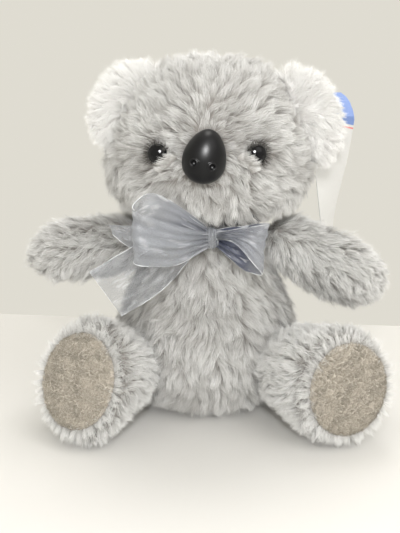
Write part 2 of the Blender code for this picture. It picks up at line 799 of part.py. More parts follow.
def build_legs(materials, pivots):
    for name in SIDES:
        pivot = pivots[name]
        outer = stand_on(loft(leg_form(name, 0), 24), 0)
        skin = add_object(f"leg_{name}_skin", outer, materials["grey_plush"], pivot)
        hollow = stand_on(loft(leg_form(name, SKIN_WALL, LEG_OPENING_RADIUS), 20), SKIN_WALL)
        cut(skin, add_cutter(name + "_leg_hollow", hollow, pivot))
        inset = SKIN_WALL + GAP * 2
        filling = stand_on(loft(leg_form(name, inset, LEG_OPENING_RADIUS - GAP), 20), inset)
        add_object(f"leg_{name}_filling", filling, materials["filling"], pivot)
        sole, facing = sole_frame(name)
        turn = frame_along(facing)
        middle = sole + turn.col[0] * SIDES[name] * PAD_SIDE
        opening = [
            ring(middle + facing * rise, PAD_HALF_WIDTH + GAP, PAD_HALF_HEIGHT + GAP, turn)
            for rise in (-SKIN_WALL - OVERRUN, OVERRUN)
        ]
        cut(skin, add_cutter(name + "_sole_opening", loft(opening, 28), pivot))
        pad = [
            ring(middle + facing * rise, PAD_HALF_WIDTH, PAD_HALF_HEIGHT, turn)
            for rise in (GAP - SKIN_WALL, 0)
        ]
        for share, crown_share in PAD_RING_SHARES:
            place = middle + facing * SOLE_CROWN * crown_share
            pad.append(ring(place, PAD_HALF_WIDTH * share, PAD_HALF_HEIGHT * share, turn))
        add_object("foot_pad_" + name, loft(pad, 28), materials["velour"], pivot)


def build_collar(materials):
    """The ribbon round the neck, gathered into soft pleats."""
    bm = bmesh.new()
    rows = 4
    inner = NECK_RADIUS + GAP + COLLAR_PLEAT
    top = NECK_HEIGHT - GAP * 2
    outline = []
    for step in range(rows + 1):
        pleat = COLLAR_PLEAT * math.cos(math.pi * step)
        outline.append((inner + pleat, top - COLLAR_HEIGHT * step / rows))
    outline += [(radius + RIBBON_THICKNESS, height) for radius, height in reversed(outline)]
    points = [bm.verts.new((radius, 0, height)) for radius, height in outline]
    edges = [bm.edges.new(pair) for pair in zip(points, points[1:] + points[:1])]
    bmesh.ops.spin(
        bm,
        geom=points + edges,
        cent=(0, 0, 0),
        axis=(0, 0, UNIT),
        angle=2 * math.pi,
        steps=28,
        use_merge=True,
    )
    add_object("neck_ribbon", bm, materials["organza"])


def build_knot(materials):
    middle = knot_middle()
    rings = []
    for angle in (math.radians(degrees) for degrees in KNOT_DEGREES):
        fullness = math.cos(angle) ** KNOT_FULLNESS
        rings.append(
            ring(
                middle + Vector((0, 0, KNOT_HALF_HEIGHT * math.sin(angle))),
                KNOT_HALF_WIDTH * fullness,
                KNOT_HALF_DEPTH * fullness,
            )
        )
    add_object("bow_knot", loft(rings, 16), materials["organza"])


# Routes of the bow, from the knot out. Each point is (across, forwards, up) in shares of the
# ribbon's half width from the side of the knot, then the half width's (across, forwards, up)
# in the same shares. The toy's right comes first, as it stands in front.
LOOP_SHARES = {
    "right": (
        ((0.00, 0.02, 0.08), (0.00, 0.00, 0.30)),
        ((0.50, 0.45, 0.42), (0.05, 0.00, 0.62)),
        ((1.00, 0.72, 0.72), (0.10, 0.00, 0.85)),
        ((1.50, 0.90, 0.88), (0.12, 0.00, 0.94)),
        ((2.00, 1.10, 0.72), (0.05, 0.00, 0.96)),
        ((2.27, 1.32, 0.48), (0.00, 0.00, 0.94)),
        ((2.00, 1.52, 0.34), (-0.03, 0.00, 0.90)),
        ((1.45, 1.40, 0.20), (-0.04, 0.00, 0.82)),
        ((0.90, 1.15, 0.04), (-0.02, 0.00, 0.72)),
        ((0.42, 0.72, 0.00), (0.00, 0.00, 0.52)),
        ((0.00, 0.25, 0.00), (0.00, 0.00, 0.30)),
    ),
    "left": (
        ((0.00, 0.02, 0.00), (0.00, 0.00, 0.30)),
        ((0.30, 0.28, -0.12), (0.00, 0.00, 0.58)),
        ((0.65, 0.52, -0.18), (0.00, 0.00, 0.78)),
        ((1.05, 0.78, -0.15), (0.04, 0.00, 0.88)),
        ((1.35, 1.02, -0.12), (0.08, 0.00, 0.90)),
        ((1.18, 1.20, -0.15), (0.06, 0.00, 0.88)),
        ((0.75, 1.10, -0.22), (0.02, 0.00, 0.84)),
        ((0.38, 0.80, -0.24), (0.00, 0.00, 0.70)),
        ((0.14, 0.48, -0.10), (0.00, 0.00, 0.45)),
        ((0.00, 0.25, 0.00), (0.00, 0.00, 0.30)),
    ),
}
TAIL_SHARES = {
    "right": (
        ((0.00, -0.20, -0.10), (0.05, 0.00, 0.20)),
        ((0.60, 0.00, -0.30), (0.20, 0.00, 0.50)),
        ((1.30, 0.42, -0.60), (0.35, 0.00, 0.80)),
        ((2.20, 0.95, -1.10), (0.45, 0.00, 0.85)),
        ((3.25, 1.42, -1.60), (0.52, 0.00, 0.80)),
    ),
    "left": (
        ((0.00, -0.20, -0.10), (0.05, 0.00, 0.20)),
        ((0.40, -0.12, -0.20), (0.10, 0.00, 0.42)),
        ((0.80, 0.08, -0.30), (0.15, 0.00, 0.58)),
        ((1.15, 0.32, -0.38), (0.15, 0.00, 0.62)),
    ),
}


def ribbon_stations(name, shares, count, closed):
    """Stations of a ribbon that leaves the side of the knot and, when closed, comes back to it."""
    side = SIDES[name]
    start = knot_middle() + Vector((side * (KNOT_HALF_WIDTH + GAP * 2), 0, 0))
    centres = [Vector(place) for place, _ in shares]
    widths = [Vector(width) for _, width in shares]
    stations = []
    for step in range(count + 1):
        share = step / count
        across, forwards, up = curve_through(centres, share) * RIBBON_HALF_WIDTH
        centre = start + Vector((side * across, -forwards, up))
        across, forwards, up = curve_through(widths, share) * RIBBON_HALF_WIDTH
        pinch = max(UNIT - share * 3, (share * 3 - 2) if closed else 0, 0)
        stations.append((centre, Vector((side * across, -forwards, up)), PLEAT_DEPTH * pinch))
    return stations


def build_bow(materials):
    for name in SIDES:
        loop = ribbon_stations(name, LOOP_SHARES[name], 20, True)
        strip(loop, materials["organza"], "bow_loop_" + name, pleats=3, columns=6)
        tail = ribbon_stations(name, TAIL_SHARES[name], 9, False)
        strip(tail, materials["organza"], "bow_tail_" + name, pleats=3, columns=6)


def fastener_place():
    """Where the fastener goes through the toy's left ear, on the ear's middle plane."""
    root, lengthways, outwards, _ = ear_frame("left")
    return (
        root
        + outwards * EAR_REACH * FASTENER_REACH_SHARE
        + lengthways * EAR_HALF_LENGTH["left"] * FASTENER_SLIDE_SHARE
    )


def tag_depth_offset():
    """From the ear's middle plane back to the tag."""
    return EAR_HALF_THICKNESS + TAG_BEHIND_EAR


def fastener_form(grow):
    """A bar inside the ear, a filament back through the ear and the tag, and a flat head."""
    place = fastener_place()
    backwards = Vector((0, UNIT, 0))
    turn = frame_along(backwards)
    filament = FASTENER_RADIUS + grow
    bar = FASTENER_BAR_RADIUS + grow
    head_start = tag_depth_offset() + TAG_THICKNESS / 2 + GAP - grow
    head_end = head_start + FASTENER_HEAD_THICKNESS + grow * 2
    head = FASTENER_HEAD_RADIUS + grow
    bar_middle = FASTENER_BAR_RADIUS + GAP * 2
    outline = [
        (bar_middle - bar, FASTENER_BAR_HALF_LENGTH + grow, bar),
        (bar_middle + bar, FASTENER_BAR_HALF_LENGTH + grow, bar),
        (bar_middle + bar, filament, filament),
        (head_start, filament, filament),
        (head_start, head, head),
        (head_end, head, head),
    ]
    return loft(
        [ring(place + backwards * along, half_x, half_y, turn) for along, half_x, half_y in outline],
        12,
    )


def tag_stations():
    """The card from its rounded top down: it twists and swings back as it hangs."""
    hole = fastener_place() + Vector((0, tag_depth_offset(), 0))
    stations = []
    for drop_share, width_share in zip(TAG_DROP_SHARES, TAG_WIDTH_SHARES):
        lean = TAG_LEAN * math.sin(RIGHT_ANGLE * max(drop_share - TAG_STRAIGHT_SHARE, 0))
        sway = TAG_SWAY * max(drop_share, 0)
        twist = ease(0, TAG_TWIST, max(drop_share, 0))
        half_width = Vector((math.cos(twist), math.sin(twist), 0)) * TAG_HALF_WIDTH * width_share
        centre = hole + Vector((sway, lean, -drop_share * (TAG_LENGTH - TAG_HOLE_DROP)))
        stations.append((centre, half_width, 0))
    return stations


def build_tag(materials, ear_pivot, tag_pivot):
    add_object("tag_fastener", fastener_form(0), materials["clear_plastic"], ear_pivot)
    card = materials["card"]
    tag = strip(tag_stations(), card, "hang_tag", tag_pivot, columns=4, thickness=TAG_THICKNESS)
    clearance = add_cutter("fastener_clearance", fastener_form(GAP), ear_pivot)
    cut(tag, clearance)
    cut(bpy.data.objects["ear_left_back"], clearance)


def build():
    clear_scene()
    materials = {
        "grey_plush": make_material("grey plush", (0.52, 0.54, 0.56), 0.95),
        "white_plush": make_material("white plush", (0.86, 0.86, 0.84), 0.95),
        "velour": make_material("taupe velour", (0.42, 0.37, 0.34), 0.9),
        "filling": make_material("polyester filling", (0.9, 0.9, 0.88), 1.0),
        "glossy_black": make_material("glossy black plastic", (0.01, 0.01, 0.01), 0.08),
        "satin_black": make_material("satin black plastic", (0.015, 0.015, 0.016), 0.35),
        "washer": make_material("white plastic", (0.8, 0.8, 0.78), 0.4),
        "organza": make_material("blue-grey organza", (0.45, 0.5, 0.58), 0.4, alpha=0.6),
        "card": make_material("coated card", (0.85, 0.85, 0.84), 0.45),
        "clear_plastic": make_material("clear plastic", (0.8, 0.8, 0.8), 0.2, alpha=0.5),
    }
    neck = add_pivot("neck_pivot", (0, 0, NECK_HEIGHT))
    ear_pivots = {name: add_pivot(name + "_ear_pivot", ear_frame(name)[0]) for name in SIDES}
    arm_pivots = {name: add_pivot(name + "_arm_pivot", arm_frame(name)[0]) for name in SIDES}
    leg_pivots = {name: add_pivot(name + "_leg_pivot", hip_frame(name)[0]) for name in SIDES}
    tag_pivot = add_pivot("tag_pivot", fastener_place())
    build_body(materials)
    skin, filling = build_head(materials, neck)
    build_face(materials, neck, skin, filling)
    build_ears(materials, ear_pivots)
    build_arms(materials, arm_pivots)
    build_legs(materials, leg_pivots)
    build_collar(materials)
    build_knot(materials)
    build_bow(materials)
    build_tag(materials, ear_pivots["left"], tag_pivot)


build()
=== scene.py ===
"""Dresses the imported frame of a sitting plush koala: padding, pile, face, organza bow and tag.

Units are metres, +Z up, and the toy faces -Y. Left and right are the toy's own, so its left is +X.
"""

import json
import math

import bmesh
import bpy
import numpy as np
from bpy.props import FloatProperty, FloatVectorProperty, IntProperty, PointerProperty
from mathutils import Matrix, Vector
from mathutils.bvhtree import BVHTree
from mathutils.kdtree import KDTree

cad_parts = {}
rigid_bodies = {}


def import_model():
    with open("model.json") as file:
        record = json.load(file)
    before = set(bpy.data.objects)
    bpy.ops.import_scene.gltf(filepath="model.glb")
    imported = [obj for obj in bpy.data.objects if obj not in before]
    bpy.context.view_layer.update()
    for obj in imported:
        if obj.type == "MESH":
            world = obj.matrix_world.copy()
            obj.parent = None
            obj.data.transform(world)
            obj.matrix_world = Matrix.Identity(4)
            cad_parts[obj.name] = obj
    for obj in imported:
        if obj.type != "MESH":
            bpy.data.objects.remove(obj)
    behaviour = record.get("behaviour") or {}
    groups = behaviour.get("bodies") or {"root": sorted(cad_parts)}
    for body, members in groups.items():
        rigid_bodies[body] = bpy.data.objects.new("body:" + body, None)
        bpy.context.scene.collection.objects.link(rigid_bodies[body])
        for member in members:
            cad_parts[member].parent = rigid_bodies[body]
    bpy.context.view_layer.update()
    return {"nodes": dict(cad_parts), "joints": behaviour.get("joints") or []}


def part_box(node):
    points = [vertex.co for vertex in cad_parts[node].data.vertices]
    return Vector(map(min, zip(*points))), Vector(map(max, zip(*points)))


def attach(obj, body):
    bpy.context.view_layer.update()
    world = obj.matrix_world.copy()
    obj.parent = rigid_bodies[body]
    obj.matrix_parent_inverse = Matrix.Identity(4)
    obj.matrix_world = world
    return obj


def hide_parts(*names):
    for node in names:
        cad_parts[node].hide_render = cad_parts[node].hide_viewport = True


bl_info = {
    "name": "Sitting plush koala",
    "version": (1, 0, 0),
    "blender": (4, 5, 0),
    "location": "View3D > Sidebar > Koala",
    "description": "Dresses a sitting koala in plush, organza, card and plastic",
    "category": "Object",
}

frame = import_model()

SIDES = {"left": 1, "right": -1}
UP = Vector((0, 0, 1))
PILE_MAP = "OFBake"
CLOTH_MAP = "Cloth"
HINGES = {joint["name"]: Vector(joint["pos_m"]) for joint in frame["joints"]}

# The head's form, as the frame has it
HEAD_LEVEL = 0.1718
HEAD_HALF_WIDTH = 0.066
HEAD_HALF_DEPTH = 0.054
HEAD_CROWN = 0.0535
HEAD_JAW = 0.060
HEAD_FULLNESS = 0.92
HEAD_SIDE = 0.0012
NECK_HEIGHT = 0.133

# The face's seats on the head's front, as offsets from its middle and rises over its level
NOSE_SEAT = (-0.0030, 0.0014)
NOSE_ROLL = math.radians(-12)
NOSE_HALF_WIDTH = 0.0142
NOSE_HALF_HEIGHT = 0.0152
NOSE_TAPER = 0.30
NOSTRIL_DROP = 0.003
EYE_MIDDLE = -0.0018
EYE_SPACING = 0.0275
EYE_RISE = 0.0020

STRAND_ROWS = 2
PIECE_TRIANGLES = 190_000

# Routes of the bow, from the knot out, as the frame has them: each point is (across, forwards,
# up) in shares of the ribbon's half width from the side of the knot, then its half width.
LOOP_SHARES = {
    "right": (
        ((0.00, 0.02, 0.08), (0.00, 0.00, 0.30)),
        ((0.50, 0.45, 0.42), (0.05, 0.00, 0.62)),
        ((1.00, 0.72, 0.72), (0.10, 0.00, 0.85)),
        ((1.50, 0.90, 0.88), (0.12, 0.00, 0.94)),
        ((2.00, 1.10, 0.72), (0.05, 0.00, 0.96)),
        ((2.27, 1.32, 0.48), (0.00, 0.00, 0.94)),
        ((2.00, 1.52, 0.34), (-0.03, 0.00, 0.90)),
        ((1.45, 1.40, 0.20), (-0.04, 0.00, 0.82)),
        ((0.90, 1.15, 0.04), (-0.02, 0.00, 0.72)),
        ((0.42, 0.72, 0.00), (0.00, 0.00, 0.52)),
        ((0.00, 0.25, 0.00), (0.00, 0.00, 0.30)),
    ),
    "left": (
        ((0.00, 0.02, 0.00), (0.00, 0.00, 0.30)),
        ((0.30, 0.28, -0.12), (0.00, 0.00, 0.58)),
        ((0.65, 0.52, -0.23), (0.00, 0.00, 0.80)),
        ((1.05, 0.78, -0.17), (0.04, 0.00, 0.90)),
        ((1.38, 1.02, -0.12), (0.08, 0.00, 0.92)),
        ((1.22, 1.20, 0.05), (0.12, 0.00, 0.76)),
        ((0.80, 1.12, 0.30), (0.20, 0.00, 0.42)),
        ((0.40, 0.84, 0.34), (0.12, 0.00, 0.24)),
        ((0.15, 0.50, 0.24), (0.03, 0.00, 0.16)),
        ((0.00, 0.25, 0.16), (0.00, 0.00, 0.12)),
    ),
}
TAIL_SHARES = {
    "right": (
        ((0.00, -0.20, -0.10), (0.05, 0.00, 0.20)),
        ((0.60, 0.00, -0.30), (0.20, 0.00, 0.50)),
        ((1.30, 0.42, -0.60), (0.35, 0.00, 0.80)),
        ((2.20, 0.95, -1.10), (0.45, 0.00, 0.85)),
        ((3.25, 1.42, -1.60), (0.52, 0.00, 0.80)),
    ),
    "left": (
        ((0.00, -0.20, -0.10), (0.05, 0.00, 0.20)),
        ((0.40, -0.12, -0.20), (0.10, 0.00, 0.42)),
        ((0.80, 0.08, -0.30), (0.15, 0.00, 0.58)),
        ((1.15, 0.32, -0.38), (0.15, 0.00, 0.62)),
    ),
}

# The neck band's fold: its middle line and its half widths, from the neck out
BAND_FOLD_ROUTE = (
    (-0.022, -0.0375, 0.1235),
    (-0.036, -0.0420, 0.1230),
    (-0.047, -0.0430, 0.1245),
    (-0.0570, -0.0410, 0.1285),
)
BAND_FOLD_WIDTHS = ((0, 0, 0.0065), (-0.001, 0, 0.0078), (-0.001, 0, 0.0066), (-0.001, 0, 0.0030))

# The tag's outline, as the frame has it: shares of its length under the hole, and of its width
TAG_DROP_SHARES = (-0.087, -0.065, -0.03, 0.02, 0.08, 1)
TAG_WIDTH_SHARES = (0.20, 0.48, 0.72, 0.90, 1, 1)


def length_property(name, description, default):
    return FloatProperty(
        name=name, description=description, default=default, min=0, unit="LENGTH", precision=5
    )


def share_property(name, description, default):
    return FloatProperty(
        name=name, description=description, default=default, min=0, max=1, subtype="FACTOR"
    )


def colour_property(name, description, default):
    return FloatVectorProperty(
        name=name, description=description, default=default, size=3, min=0, max=1, subtype="COLOR"
    )


class KoalaPlush(bpy.types.PropertyGroup):
    """The plush: its padding, its pile and its colours."""

    grid: length_property("Padding grid", "Spacing of the padding's mesh", 0.0035)
    strand_width: length_property("Strand width", "Width of one strand at its root", 0.00024)
    face_length: length_property("Face pile", "Length of the head's pile", 0.0125)
    body_length: length_property("Body pile", "Length of the body's pile", 0.0140)
    arm_length: length_property("Arm pile", "Length of the arms' pile", 0.0120)
    leg_length: length_property("Leg pile", "Length of the legs' pile", 0.0095)
    ear_length: length_property("Ear pile", "Length of the white pile", 0.0090)
    ear_inset: FloatVectorProperty(
        name="Ear inset",
        description="How far the ears' skin lies inside their form, along each axis",
        default=(0.0042, 0.0010, 0.0042),
        unit="LENGTH",
        subtype="XYZ",
    )
    nap_length: length_property("Pad nap", "Length of the foot pads' nap", 0.0017)
    tuft_spacing: length_property("Tuft spacing", "Spacing of the tufts in the pile", 0.0038)
    tuft_pull: share_property("Tuft pull", "How far the strands of a tuft draw together", 0.62)
    density: FloatProperty(
        name="Strands", description="Strands on a square millimetre", default=3.5, min=0
    )
    grey_light: colour_property("Grey, light", "Light strands of the grey pile", (0.82, 0.82, 0.81))
    grey_dark: colour_property("Grey, dark", "Dark strands of the grey pile", (0.43, 0.42, 0.405))
    # Root colours are darker than the strands, partly as painted shade deep in the pile.
    grey_root: colour_property("Grey, root", "Roots of the grey pile", (0.29, 0.27, 0.25))
    # Painted light: the legs' pile takes lighter dark and root colours than the grey pile, for the
    # light on the legs; the fur is the same.
    lit_leg_dark: colour_property("Pale, dark", "Dark strands of the legs' pile", (0.58, 0.575, 0.565))
    lit_leg_root: colour_property("Pale, root", "Roots of the legs' pile", (0.42, 0.405, 0.385))
    white_light: colour_property("White, light", "Light strands of the ears", (0.93, 0.93, 0.92))
    white_root: colour_property("White, root", "Roots of the ears' pile", (0.92, 0.91, 0.90))
    pad_light: colour_property("Pad, light", "Light fibres of the foot pads", (0.605, 0.548, 0.468))
    # The pads' dark colour is partly mottled tone, partly painted shade deep in the nap.
    pad_dark: colour_property("Pad, dark", "Dark fibres of the foot pads", (0.22, 0.20, 0.16))


class KoalaFace(bpy.types.PropertyGroup):
    """The eyes and the nose."""

    eye_radius: length_property("Eye radius", "Radius of an eye", 0.00575)
    eye_height: length_property("Eye height", "How far an eye stands out", 0.0042)
    nose_half_width: length_property(
        "Nose half width", "Half width of the nose", NOSE_HALF_WIDTH
    )
    nose_half_height: length_property(
        "Nose half height", "Half height of the nose", NOSE_HALF_HEIGHT
    )
    nose_depth: length_property("Nose depth", "How far the nose stands out", 0.0130)
    nostril_radius: length_property("Nostril radius", "Radius of a nostril", 0.0017)
    nostril_spacing: length_property("Nostril spacing", "Half the nostrils' distance", 0.0050)
    plastic: colour_property("Plastic", "The eyes and the nose", (0.004, 0.004, 0.0045))


class KoalaBow(bpy.types.PropertyGroup):
    """The organza bow."""

    cut_width: length_property("Ribbon width", "The ribbon's width as it is cut", 0.038)
    half_width: length_property("Spread half width", "Half the ribbon's spread width", 0.0165)
    selvage: length_property("Selvage radius", "Radius of the ribbon's woven edge", 0.00018)
    pleats: IntProperty(name="Pleats", description="Folds across the ribbon", default=5, min=1)
    cloth: colour_property("Organza", "The ribbon's threads", (0.34, 0.355, 0.385))
    # The selvage's colour is also the colour of the painted highlights on the organza's creases.
    edge: colour_property("Selvage", "The ribbon's woven edge", (0.92, 0.94, 0.97))
    # Painted shade: the dark colour the cloth takes near the knot, for the shaded inside of the
    # loops, partly for the denser gathers.
    shade: colour_property("Gathers", "The threads where they gather", (0.055, 0.065, 0.110))
    single: share_property("One layer", "How light one layer is, beside two", 0.72)


class KoalaTag(bpy.types.PropertyGroup):
    """The hang tag."""

    half_width: length_property("Half width", "Half width of the tag", 0.0115)
    length: length_property("Length", "Length of the tag", 0.106)
    thickness: length_property("Thickness", "Thickness of the card", 0.0006)
    card: colour_property("Card", "The bare card", (0.80, 0.80, 0.79))
    band: colour_property("Band", "The band across the top", (0.20, 0.30, 0.62))
    line: colour_property("Line", "The thin line under the band", (0.75, 0.22, 0.20))


class KoalaStage(bpy.types.PropertyGroup):
    """The table, the lights and the camera."""

    table: colour_property("Table", "The table top", (0.745, 0.735, 0.715))
    wall: colour_property("Surroundings", "The light all round", (0.74, 0.715, 0.64))
    camera_lens: FloatProperty(
        name="Lens", description="Focal length", default=45.38, unit="CAMERA"
    )


class Value:
    """An output of a shader node. Maths written on values adds the Math nodes that it needs."""

    def __init__(self, finish, node, place=0):
        self.finish = finish
        self.node = node
        self.place = place

    def output(self, place):
        return Value(self.finish, self.node, place)

    def math(self, operation, *others):
        feeds = dict(enumerate((self, *others)))
        return self.finish.node("ShaderNodeMath", {"operation": operation}, feeds)

    def __add__(self, other):
        return self.math("ADD", other)

    __radd__ = __add__

    def __mul__(self, other):
        return self.math("MULTIPLY", other)

    __rmul__ = __mul__

    def __sub__(self, other):
        return self.math("SUBTRACT", other)

    def __rsub__(self, other):
        return self.finish.node("ShaderNodeMath", {"operation": "SUBTRACT"}, {0: other, 1: self})

    def __truediv__(self, other):
        return self.math("DIVIDE", other)

    def held(self):
        """The value kept between 0 and 1."""
        return self.math("MAXIMUM", 0).math("MINIMUM", 1)

    def over(self, level, softness):
        """A mask that rises from 0 to 1 as the value passes the level."""
        return ((self - level) / softness + 0.5).held()


class Finish:
    """A material, and the one method that adds its nodes."""

    def __init__(self, name, **constants):
        self.material = bpy.data.materials.new(name)
        self.material.use_nodes = True
        self.tree = self.material.node_tree
        self.shader = self.tree.nodes["Principled BSDF"]
        for key, value in constants.items():
            socket = key.replace("_", " ").title().replace("Ior", "IOR")
            self.shader.inputs[socket].default_value = value

    def feed(self, socket, value):
        if isinstance(value, Value):
            self.tree.links.new(value.node.outputs[value.place], socket)
        elif hasattr(value, "__len__") and len(value) == 3 and socket.type == "RGBA":
            socket.default_value = (*value, 1)
        else:
            socket.default_value = value

    def node(self, kind, settings=None, feeds=None, place=0):
        made = self.tree.nodes.new(kind)
        for name, setting in (settings or {}).items():
            setattr(made, name, setting)
        for name, value in (feeds or {}).items():
            self.feed(made.inputs[name], value)
        return Value(self, made, place)

    def drive(self, name, value):
        self.feed(self.shader.inputs[name], value)

    def mix(self, low, high, share):
        settings = {"data_type": "RGBA", "clamp_factor": True}
        return self.node("ShaderNodeMix", settings, {0: share, 6: low, 7: high}, 2)

    def spot(self):
        """Object coordinates."""
        return self.node("ShaderNodeTexCoord", place="Object")

    def noise(self, place, scale, detail=3):
        return self.node(
            "ShaderNodeTexNoise", None, {"Vector": place, "Scale": scale, "Detail": detail}
        )

    def map_parts(self, name):
        place = self.node("ShaderNodeUVMap", {"uv_map": name})
        parts = self.node("ShaderNodeSeparateXYZ", None, {0: place})
        return parts, parts.output(1)

    def bump(self, height, distance, strength=1.0):
        bumped = self.node(
            "ShaderNodeBump", None, {"Height": height, "Distance": distance, "Strength": strength}
        )
        self.drive("Normal", bumped)


def pile_finish(name, root, dark, light, roughness=0.8, root_height=0.6):
    """A strand's colour goes by its own tone and by its height from root to tip; the dark roots are
    partly painted shade.
    """
    finish = Finish(name, roughness=roughness, sheen_weight=0.15, specular_ior_level=0.2)
    tone, height = finish.map_parts(PILE_MAP)
    fibre = finish.mix(dark, light, (tone * 0.75 + height * 0.35).held())
    # Partly painted shade: towards its root a strand takes the darker root colour, as if shaded
    # deep in the pile.
    low = finish.mix(root, dark, (tone * 2 - 1).held())
    finish.drive("Base Color", finish.mix(low, fibre, (height / root_height).held()))
    return finish.material


def backing_finish(name, colour):
    """The knitted backing that the pile grows from."""
    finish = Finish(name, roughness=0.95)
    speck = finish.noise(finish.spot(), 900, 2)
    cloud = finish.noise(finish.spot(), 60, 2)
    shade = (speck * 0.5 + cloud * 0.5).held()
    deep = tuple(part * 0.8 for part in colour)
    finish.drive("Base Color", finish.mix(deep, colour, shade))
    finish.bump(speck, 0.0003)
    return finish.material


def organza_finish(bow, name, cloth, gather_painted_shade, reach=1.3):
    """Sheer threads: an even haze that grows dense in the gathers; glossy creases with painted
    highlights, and painted shade by the knot.
    """
    finish = Finish(name, specular_ior_level=0.25, sheen_weight=0.1)
    across, along = finish.map_parts(CLOTH_MAP)
    crease_place = finish.node("ShaderNodeCombineXYZ", None, {0: across * 9, 1: along * 6.5})
    crease = finish.noise(crease_place, 1.0, 2)
    cloud_place = finish.node("ShaderNodeCombineXYZ", None, {0: across * 3, 1: along * 5})
    cloud = finish.noise(cloud_place, 1.0, 4)
    thread = finish.noise(finish.spot(), 2500, 1)
    gather = (reach - along * 3.4).held()
    # Painted highlight: creases and clouds of the cloth are painted pale; the same mask makes them
    # glossier and denser.
    gloss_and_painted_shine = (crease.over(0.63, 0.08) * (0.25 + gather * 0.2) + cloud.over(0.66, 0.12) * 0.35).held()
    # Painted shade: near the knot the colour darkens towards the shade colour, for the shaded
    # inside of the loop, partly for the denser gathered layers.
    deep = finish.mix(cloth, tuple(bow.shade), gather * gather_painted_shade)
    # The painted highlight takes the colour towards the selvage's pale colour.
    finish.drive("Base Color", finish.mix(deep, tuple(bow.edge), gloss_and_painted_shine))
    haze = 0.50 + gather * 0.30 + gloss_and_painted_shine * 0.25 + (thread - 0.5) * 0.30 + (cloud - 0.5) * 0.25
    finish.drive("Alpha", haze.held())
    finish.drive("Roughness", 0.45 - gloss_and_painted_shine * 0.2)
    finish.bump(crease, 0.0004, 0.5)
    return finish.material


def plastic_finish(name, colour, roughness, grain):
    finish = Finish(name, specular_ior_level=0.18 if roughness > 0.1 else 0.2)
    speck = finish.noise(finish.spot(), 700, 3)
    smear = finish.noise(finish.spot(), 90, 2)
    worn = tuple(part * 1.8 + 0.002 for part in colour)
    finish.drive("Base Color", finish.mix(colour, worn, smear))
    finish.drive("Roughness", roughness + smear * roughness * 0.35)
    finish.bump(speck, grain)
    return finish.material


def card_finish(tag):
    """Coated card with a plain band across its top."""
    finish = Finish("coated card", roughness=0.4)
    across, along = finish.map_parts(CLOTH_MAP)
    fleck = finish.noise(finish.spot(), 1500, 2)
    dull = finish.noise(finish.spot(), 70, 2)
    shaded = tuple(part * 0.9 for part in tag.card)
    paper = finish.mix(tuple(tag.card), shaded, fleck * 0.5 + dull * 0.5)
    slant = along + across * 0.05
    band = slant.over(0.86, 0.004)
    line = slant.over(0.836, 0.004) - slant.over(0.846, 0.004)
    printed = finish.mix(paper, tuple(tag.band), band)
    finish.drive("Base Color", finish.mix(printed, tuple(tag.line), line.held()))
    finish.drive("Roughness", 0.36 + dull * 0.14)
    finish.bump(fleck, 0.00005)
    return finish.material


def table_finish(stage):
    finish = Finish("painted table", roughness=0.55)
    cloud = finish.noise(finish.spot(), 3, 3)
    fleck = finish.noise(finish.spot(), 350, 2)
    light = tuple(stage.table)
    finish.drive("Base Color", finish.mix(light, tuple(part * 0.96 for part in light), cloud))
    finish.drive("Roughness", 0.5 + fleck * 0.12)
    finish.bump(fleck, 0.00004)
    return finish.material


def show(name, mesh, material, body=None, slot=None, replaced=()):
    """A mesh as a finished piece of the koala."""
    thing = bpy.data.objects.new(name, mesh)
    bpy.context.scene.collection.objects.link(thing)
    mesh.materials.clear()
    mesh.materials.append(material)
    if body:
        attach(thing, body)
    if replaced:
        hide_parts(*replaced)
    return thing


def mesh_of(bm, name):
    mesh = bpy.data.meshes.new(name)
    bm.to_mesh(mesh)
    bm.free()
    mesh.shade_smooth()
    return mesh


def finished_mesh(thing):
    """The thing's mesh, or its curve's, with its modifiers applied."""
    deps = bpy.context.evaluated_depsgraph_get()
    return bpy.data.meshes.new_from_object(thing.evaluated_get(deps))


def applied(mesh, *modifiers):
    """The mesh with modifiers, each a kind and its settings, applied in turn."""
    thing = bpy.data.objects.new("work", mesh)
    bpy.context.scene.collection.objects.link(thing)
    for kind, settings in modifiers:
        modifier = thing.modifiers.new(kind, kind)
        for name, setting in settings.items():
            setattr(modifier, name, setting)
    made = finished_mesh(thing)
    bpy.data.objects.remove(thing)
    bpy.data.meshes.remove(mesh)
    return made


def frame_along(direction, upright=UP):
    """A turn whose Z follows the direction and whose Y stays as upright as it can."""
    z = Vector(direction).normalized()
    x = Vector(upright).cross(z).normalized()
    return Matrix((x, z.cross(x), z)).transposed()


def padded_form(nodes, grid, inset=(0, 0, 0)):
    """The soft form that these solids of the frame fill, with its edges rounded, drawn in."""
    bm = bmesh.new()
    for node in nodes:
        bm.from_mesh(frame["nodes"][node].data)
    bmesh.ops.remove_doubles(bm, verts=bm.verts, dist=1e-5)
    voxels = {"mode": "VOXEL", "voxel_size": grid}
    smooth = {"factor": 0.5, "iterations": 6}
    subdivide = {"levels": 1, "render_levels": 1}
    mesh = applied(mesh_of(bm, "form"), ("REMESH", voxels), ("SMOOTH", smooth))
    normals = [vertex.normal.copy() for vertex in mesh.vertices]
    for vertex, normal in zip(mesh.vertices, normals):
        vertex.co -= normal * Vector(inset)
    return applied(mesh, ("SMOOTH", {"factor": 0.5, "iterations": 3}), ("SUBSURF", subdivide))


def ramp(values, start, end):
    """0 before the start and 1 after the end, eased between them."""
    share = np.clip((values - start) / (end - start), 0, 1)
    return share * share * (3 - 2 * share)


def units(vectors):
    return vectors / np.maximum(np.linalg.norm(vectors, axis=-1, keepdims=True), 1e-12)


